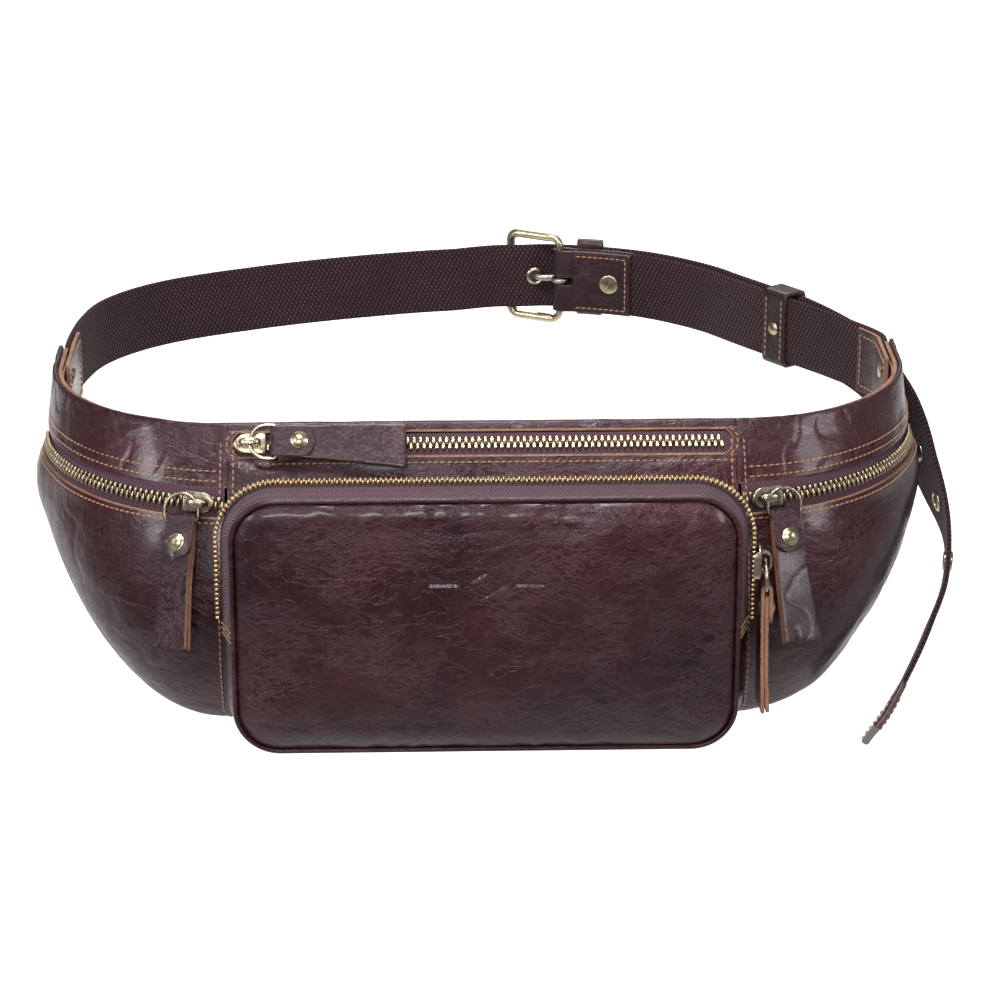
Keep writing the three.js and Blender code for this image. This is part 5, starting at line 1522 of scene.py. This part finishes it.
def make_keepers():
    web = WEB_THICK / 2
    half = WEB_WIDTH / 2
    long_out = OVERLAP_OFFSET + web + 0.4
    chape_out = web + GAP + 2.0
    fixed = loop_part(HEEL + 15, 13, (chape_out + GAP + 0.1, OVERLAP_OFFSET - web - GAP),
                      (long_out, long_out + 1.8), half + 1.2, half + 4.2)
    make_piece("keeper_fixed_leather", fixed, SMALL_LEATHER, "pack_body",
               ["keeper_fixed"], 0.3)
    sliding = loop_part(KEEPER, 16, (-web - 2.6, -web - 0.5), (long_out, long_out + 2.1),
                        half + 0.5, half + 2.8)
    make_piece("keeper_sliding_leather", sliding, SMALL_LEATHER, "keeper",
               ["keeper_sliding"], 0.3)
    for edge in (-5.6, 5.6):
        z = np.linspace(1 - half, half - 1, 30)
        for out, way in ((-web - 2.65, -1), (long_out + 2.15, 1)):
            line = on_belt(KEEPER + edge, out, z)
            stitch_row("keeper", line, unit(on_belt(KEEPER + edge, out + way, z) - line))
    dome = turned_shape([(0, 0), (3.4, 0), (3.45, 0.35), (3.1, 0.8), (2, 1.25), (0, 1.5)])
    base = belt_basis(KEEPER, -web - 2.6) @ turn_about("x", math.pi)
    make_piece("keeper_rivet_cap", moved(dome, base), [BRASS], "keeper", ["keeper_rivet"])


def make_end_tab(side, name):
    """Leather over the joint of wing and belt, on the wearer's side."""
    half, reach, inside, thick = WEB_WIDTH / 2 - 1, 26, WEB_THICK / 2 + 0.5, 2
    s = np.linspace(-reach, reach, 60)
    z = np.linspace(-half, half, 40)

    def place(out):
        grid_s, grid_z = np.meshgrid(s, z, indexing="ij")
        out = np.broadcast_to(out, grid_s.shape)
        on_wing = np.stack([side * (START + out), WING_TIP + grid_s, WEB_MID + grid_z], -1)
        past = np.maximum(grid_s, 0)
        round_belt = on_belt(past if side < 0 else BELT.length - past, out, grid_z)
        return np.where((grid_s < 0)[..., None], on_wing, round_belt)

    grid = place(-inside)
    bulge = 0.35 * noise(grid, 18, 90 + side) * border_share(grid, 5)
    make_piece(f"{name}_end_tab_leather", slab(place(-inside), place(-inside - thick + bulge)), SKIN_AND_EDGE,
               "pack_body", [f"{name}_end_tab"], 0.3)
    face = place(-inside - thick - 0.05)
    out = unit(place(-inside - thick - 1) - face)
    loop = [face[3:-3, 4], face[-4, 4:-4], face[3:-3, -5][::-1], face[3, 4:-4][::-1]]
    ways = [out[3:-3, 4], out[-4, 4:-4], out[3:-3, -5][::-1], out[3, 4:-4][::-1]]
    stitch_row("pack_body", np.concatenate(loop), np.concatenate(ways))
    dome = turned_shape([(0, 0), (4, 0), (4.05, 0.4), (3.6, 1.0), (2.4, 1.45), (0, 1.7)])
    at = vec(side * (START - inside - thick), WING_TIP - 12, WEB_MID + 6)
    base = transform([vec(0, 1, 0), vec(0, 0, 1) * -side, vec(-side, 0, 0)], at)
    make_piece(f"{name}_end_rivet_cap", moved(dome, base), [BRASS], "pack_body",
               [f"{name}_end_rivet"])


def make_stitching():
    for body, parts in STITCHES.items():
        make_piece(f"{body}_stitching", parts, [THREAD_SKIN], body, creased=0)


# ---------- setting ----------
TARGET = vec(0.0108, 0.098, -0.010)
CAMERA_AWAY = 1.7
CAMERA_LIFT = math.radians(21)
CAMERA_SIDE = math.radians(1.5)
FLOOR_Z = -0.42


def aim(thing, place, target):
    thing.location = place
    thing.rotation_euler = (Vector(target) - Vector(place)).to_track_quat("-Z", "Y").to_euler()


def make_camera():
    camera = bpy.data.cameras.new("camera")
    camera.lens = 122.4
    camera.sensor_width = 36
    holder = bpy.data.objects.new("camera", camera)
    bpy.context.scene.collection.objects.link(holder)
    flat = math.cos(CAMERA_LIFT)
    toward = vec(math.sin(CAMERA_SIDE) * flat, math.cos(CAMERA_SIDE) * flat, -math.sin(CAMERA_LIFT))
    aim(holder, tuple(TARGET - toward * CAMERA_AWAY), tuple(TARGET))
    bpy.context.scene.camera = holder


def add_light(name, place, target, size, power, spread=180):
    lamp = bpy.data.lights.new(name, "AREA")
    lamp.shape = "RECTANGLE"
    lamp.size, lamp.size_y = size
    lamp.energy = power
    lamp.spread = math.radians(spread)
    holder = bpy.data.objects.new(name, lamp)
    bpy.context.scene.collection.objects.link(holder)
    aim(holder, place, target)


def make_setting():
    n = Nodes("floor")
    tone = n.mix(n.noise(n.place(), 300, 2), (0.90, 0.90, 0.90), (0.92, 0.92, 0.92))
    n.finish(Base_Color=tone, Roughness=0.85)
    size, steps = 9.0, 5
    line = np.linspace(-size, size, steps)
    x, y = np.meshgrid(line, line, indexing="ij")
    points = np.stack([x, y, np.full_like(x, FLOOR_Z)], -1).reshape(-1, 3)
    mesh = bpy.data.meshes.new("floor")
    mesh.from_pydata(points.tolist(), [], grid_faces(np.arange(steps ** 2).reshape(steps, steps)).tolist())
    mesh.materials.append(n.material)
    floor = bpy.data.objects.new("floor", mesh)
    bpy.context.scene.collection.objects.link(floor)
    world = bpy.data.worlds.new("studio")
    world.use_nodes = True
    world.node_tree.nodes["Background"].inputs[0].default_value = (1, 1, 1, 1)
    world.node_tree.nodes["Background"].inputs[1].default_value = 0.22
    bpy.context.scene.world = world
    bpy.context.scene.view_settings.view_transform = "Standard"
    middle = (0, 0.05, 0)
    add_light("top_soft", (-0.1, -0.42, 1.3), middle, (0.6, 0.22), 7.5, 100)
    add_light("front_high", (-0.25, -1.45, 0.72), middle, (0.4, 0.16), 1.5, 60)
    add_light("left_soft", (-1.25, -0.75, 0.6), middle, (0.3, 0.5), 2.0, 70)
    add_light("right_soft", (1.3, -0.7, 0.7), middle, (0.3, 0.5), 1.7, 70)
    add_light("back_soft", (0.1, 1.3, 1.1), (0, 0.2, 0.05), (1.0, 0.3), 3, 80)
    add_light("floor_wash", (0, 2.0, 1.2), (0, 2.0, -0.4), (4.0, 2.4), 52, 90)


make_camera()
make_back_panel()
make_middle()
make_main_zip()
for side, name, seed in ((-1, "left", 100), (1, "right", 140)):
    make_wing(side, name, seed)
    make_divider(side, name)
    make_wing_zip(side, name, seed)
    make_end_tab(side, name)
make_pocket_front()
make_pocket_sides()
make_pocket_pull()
make_straps()
make_eyelets()
make_chape()
make_buckle()
make_keepers()
make_stitching()
make_setting()
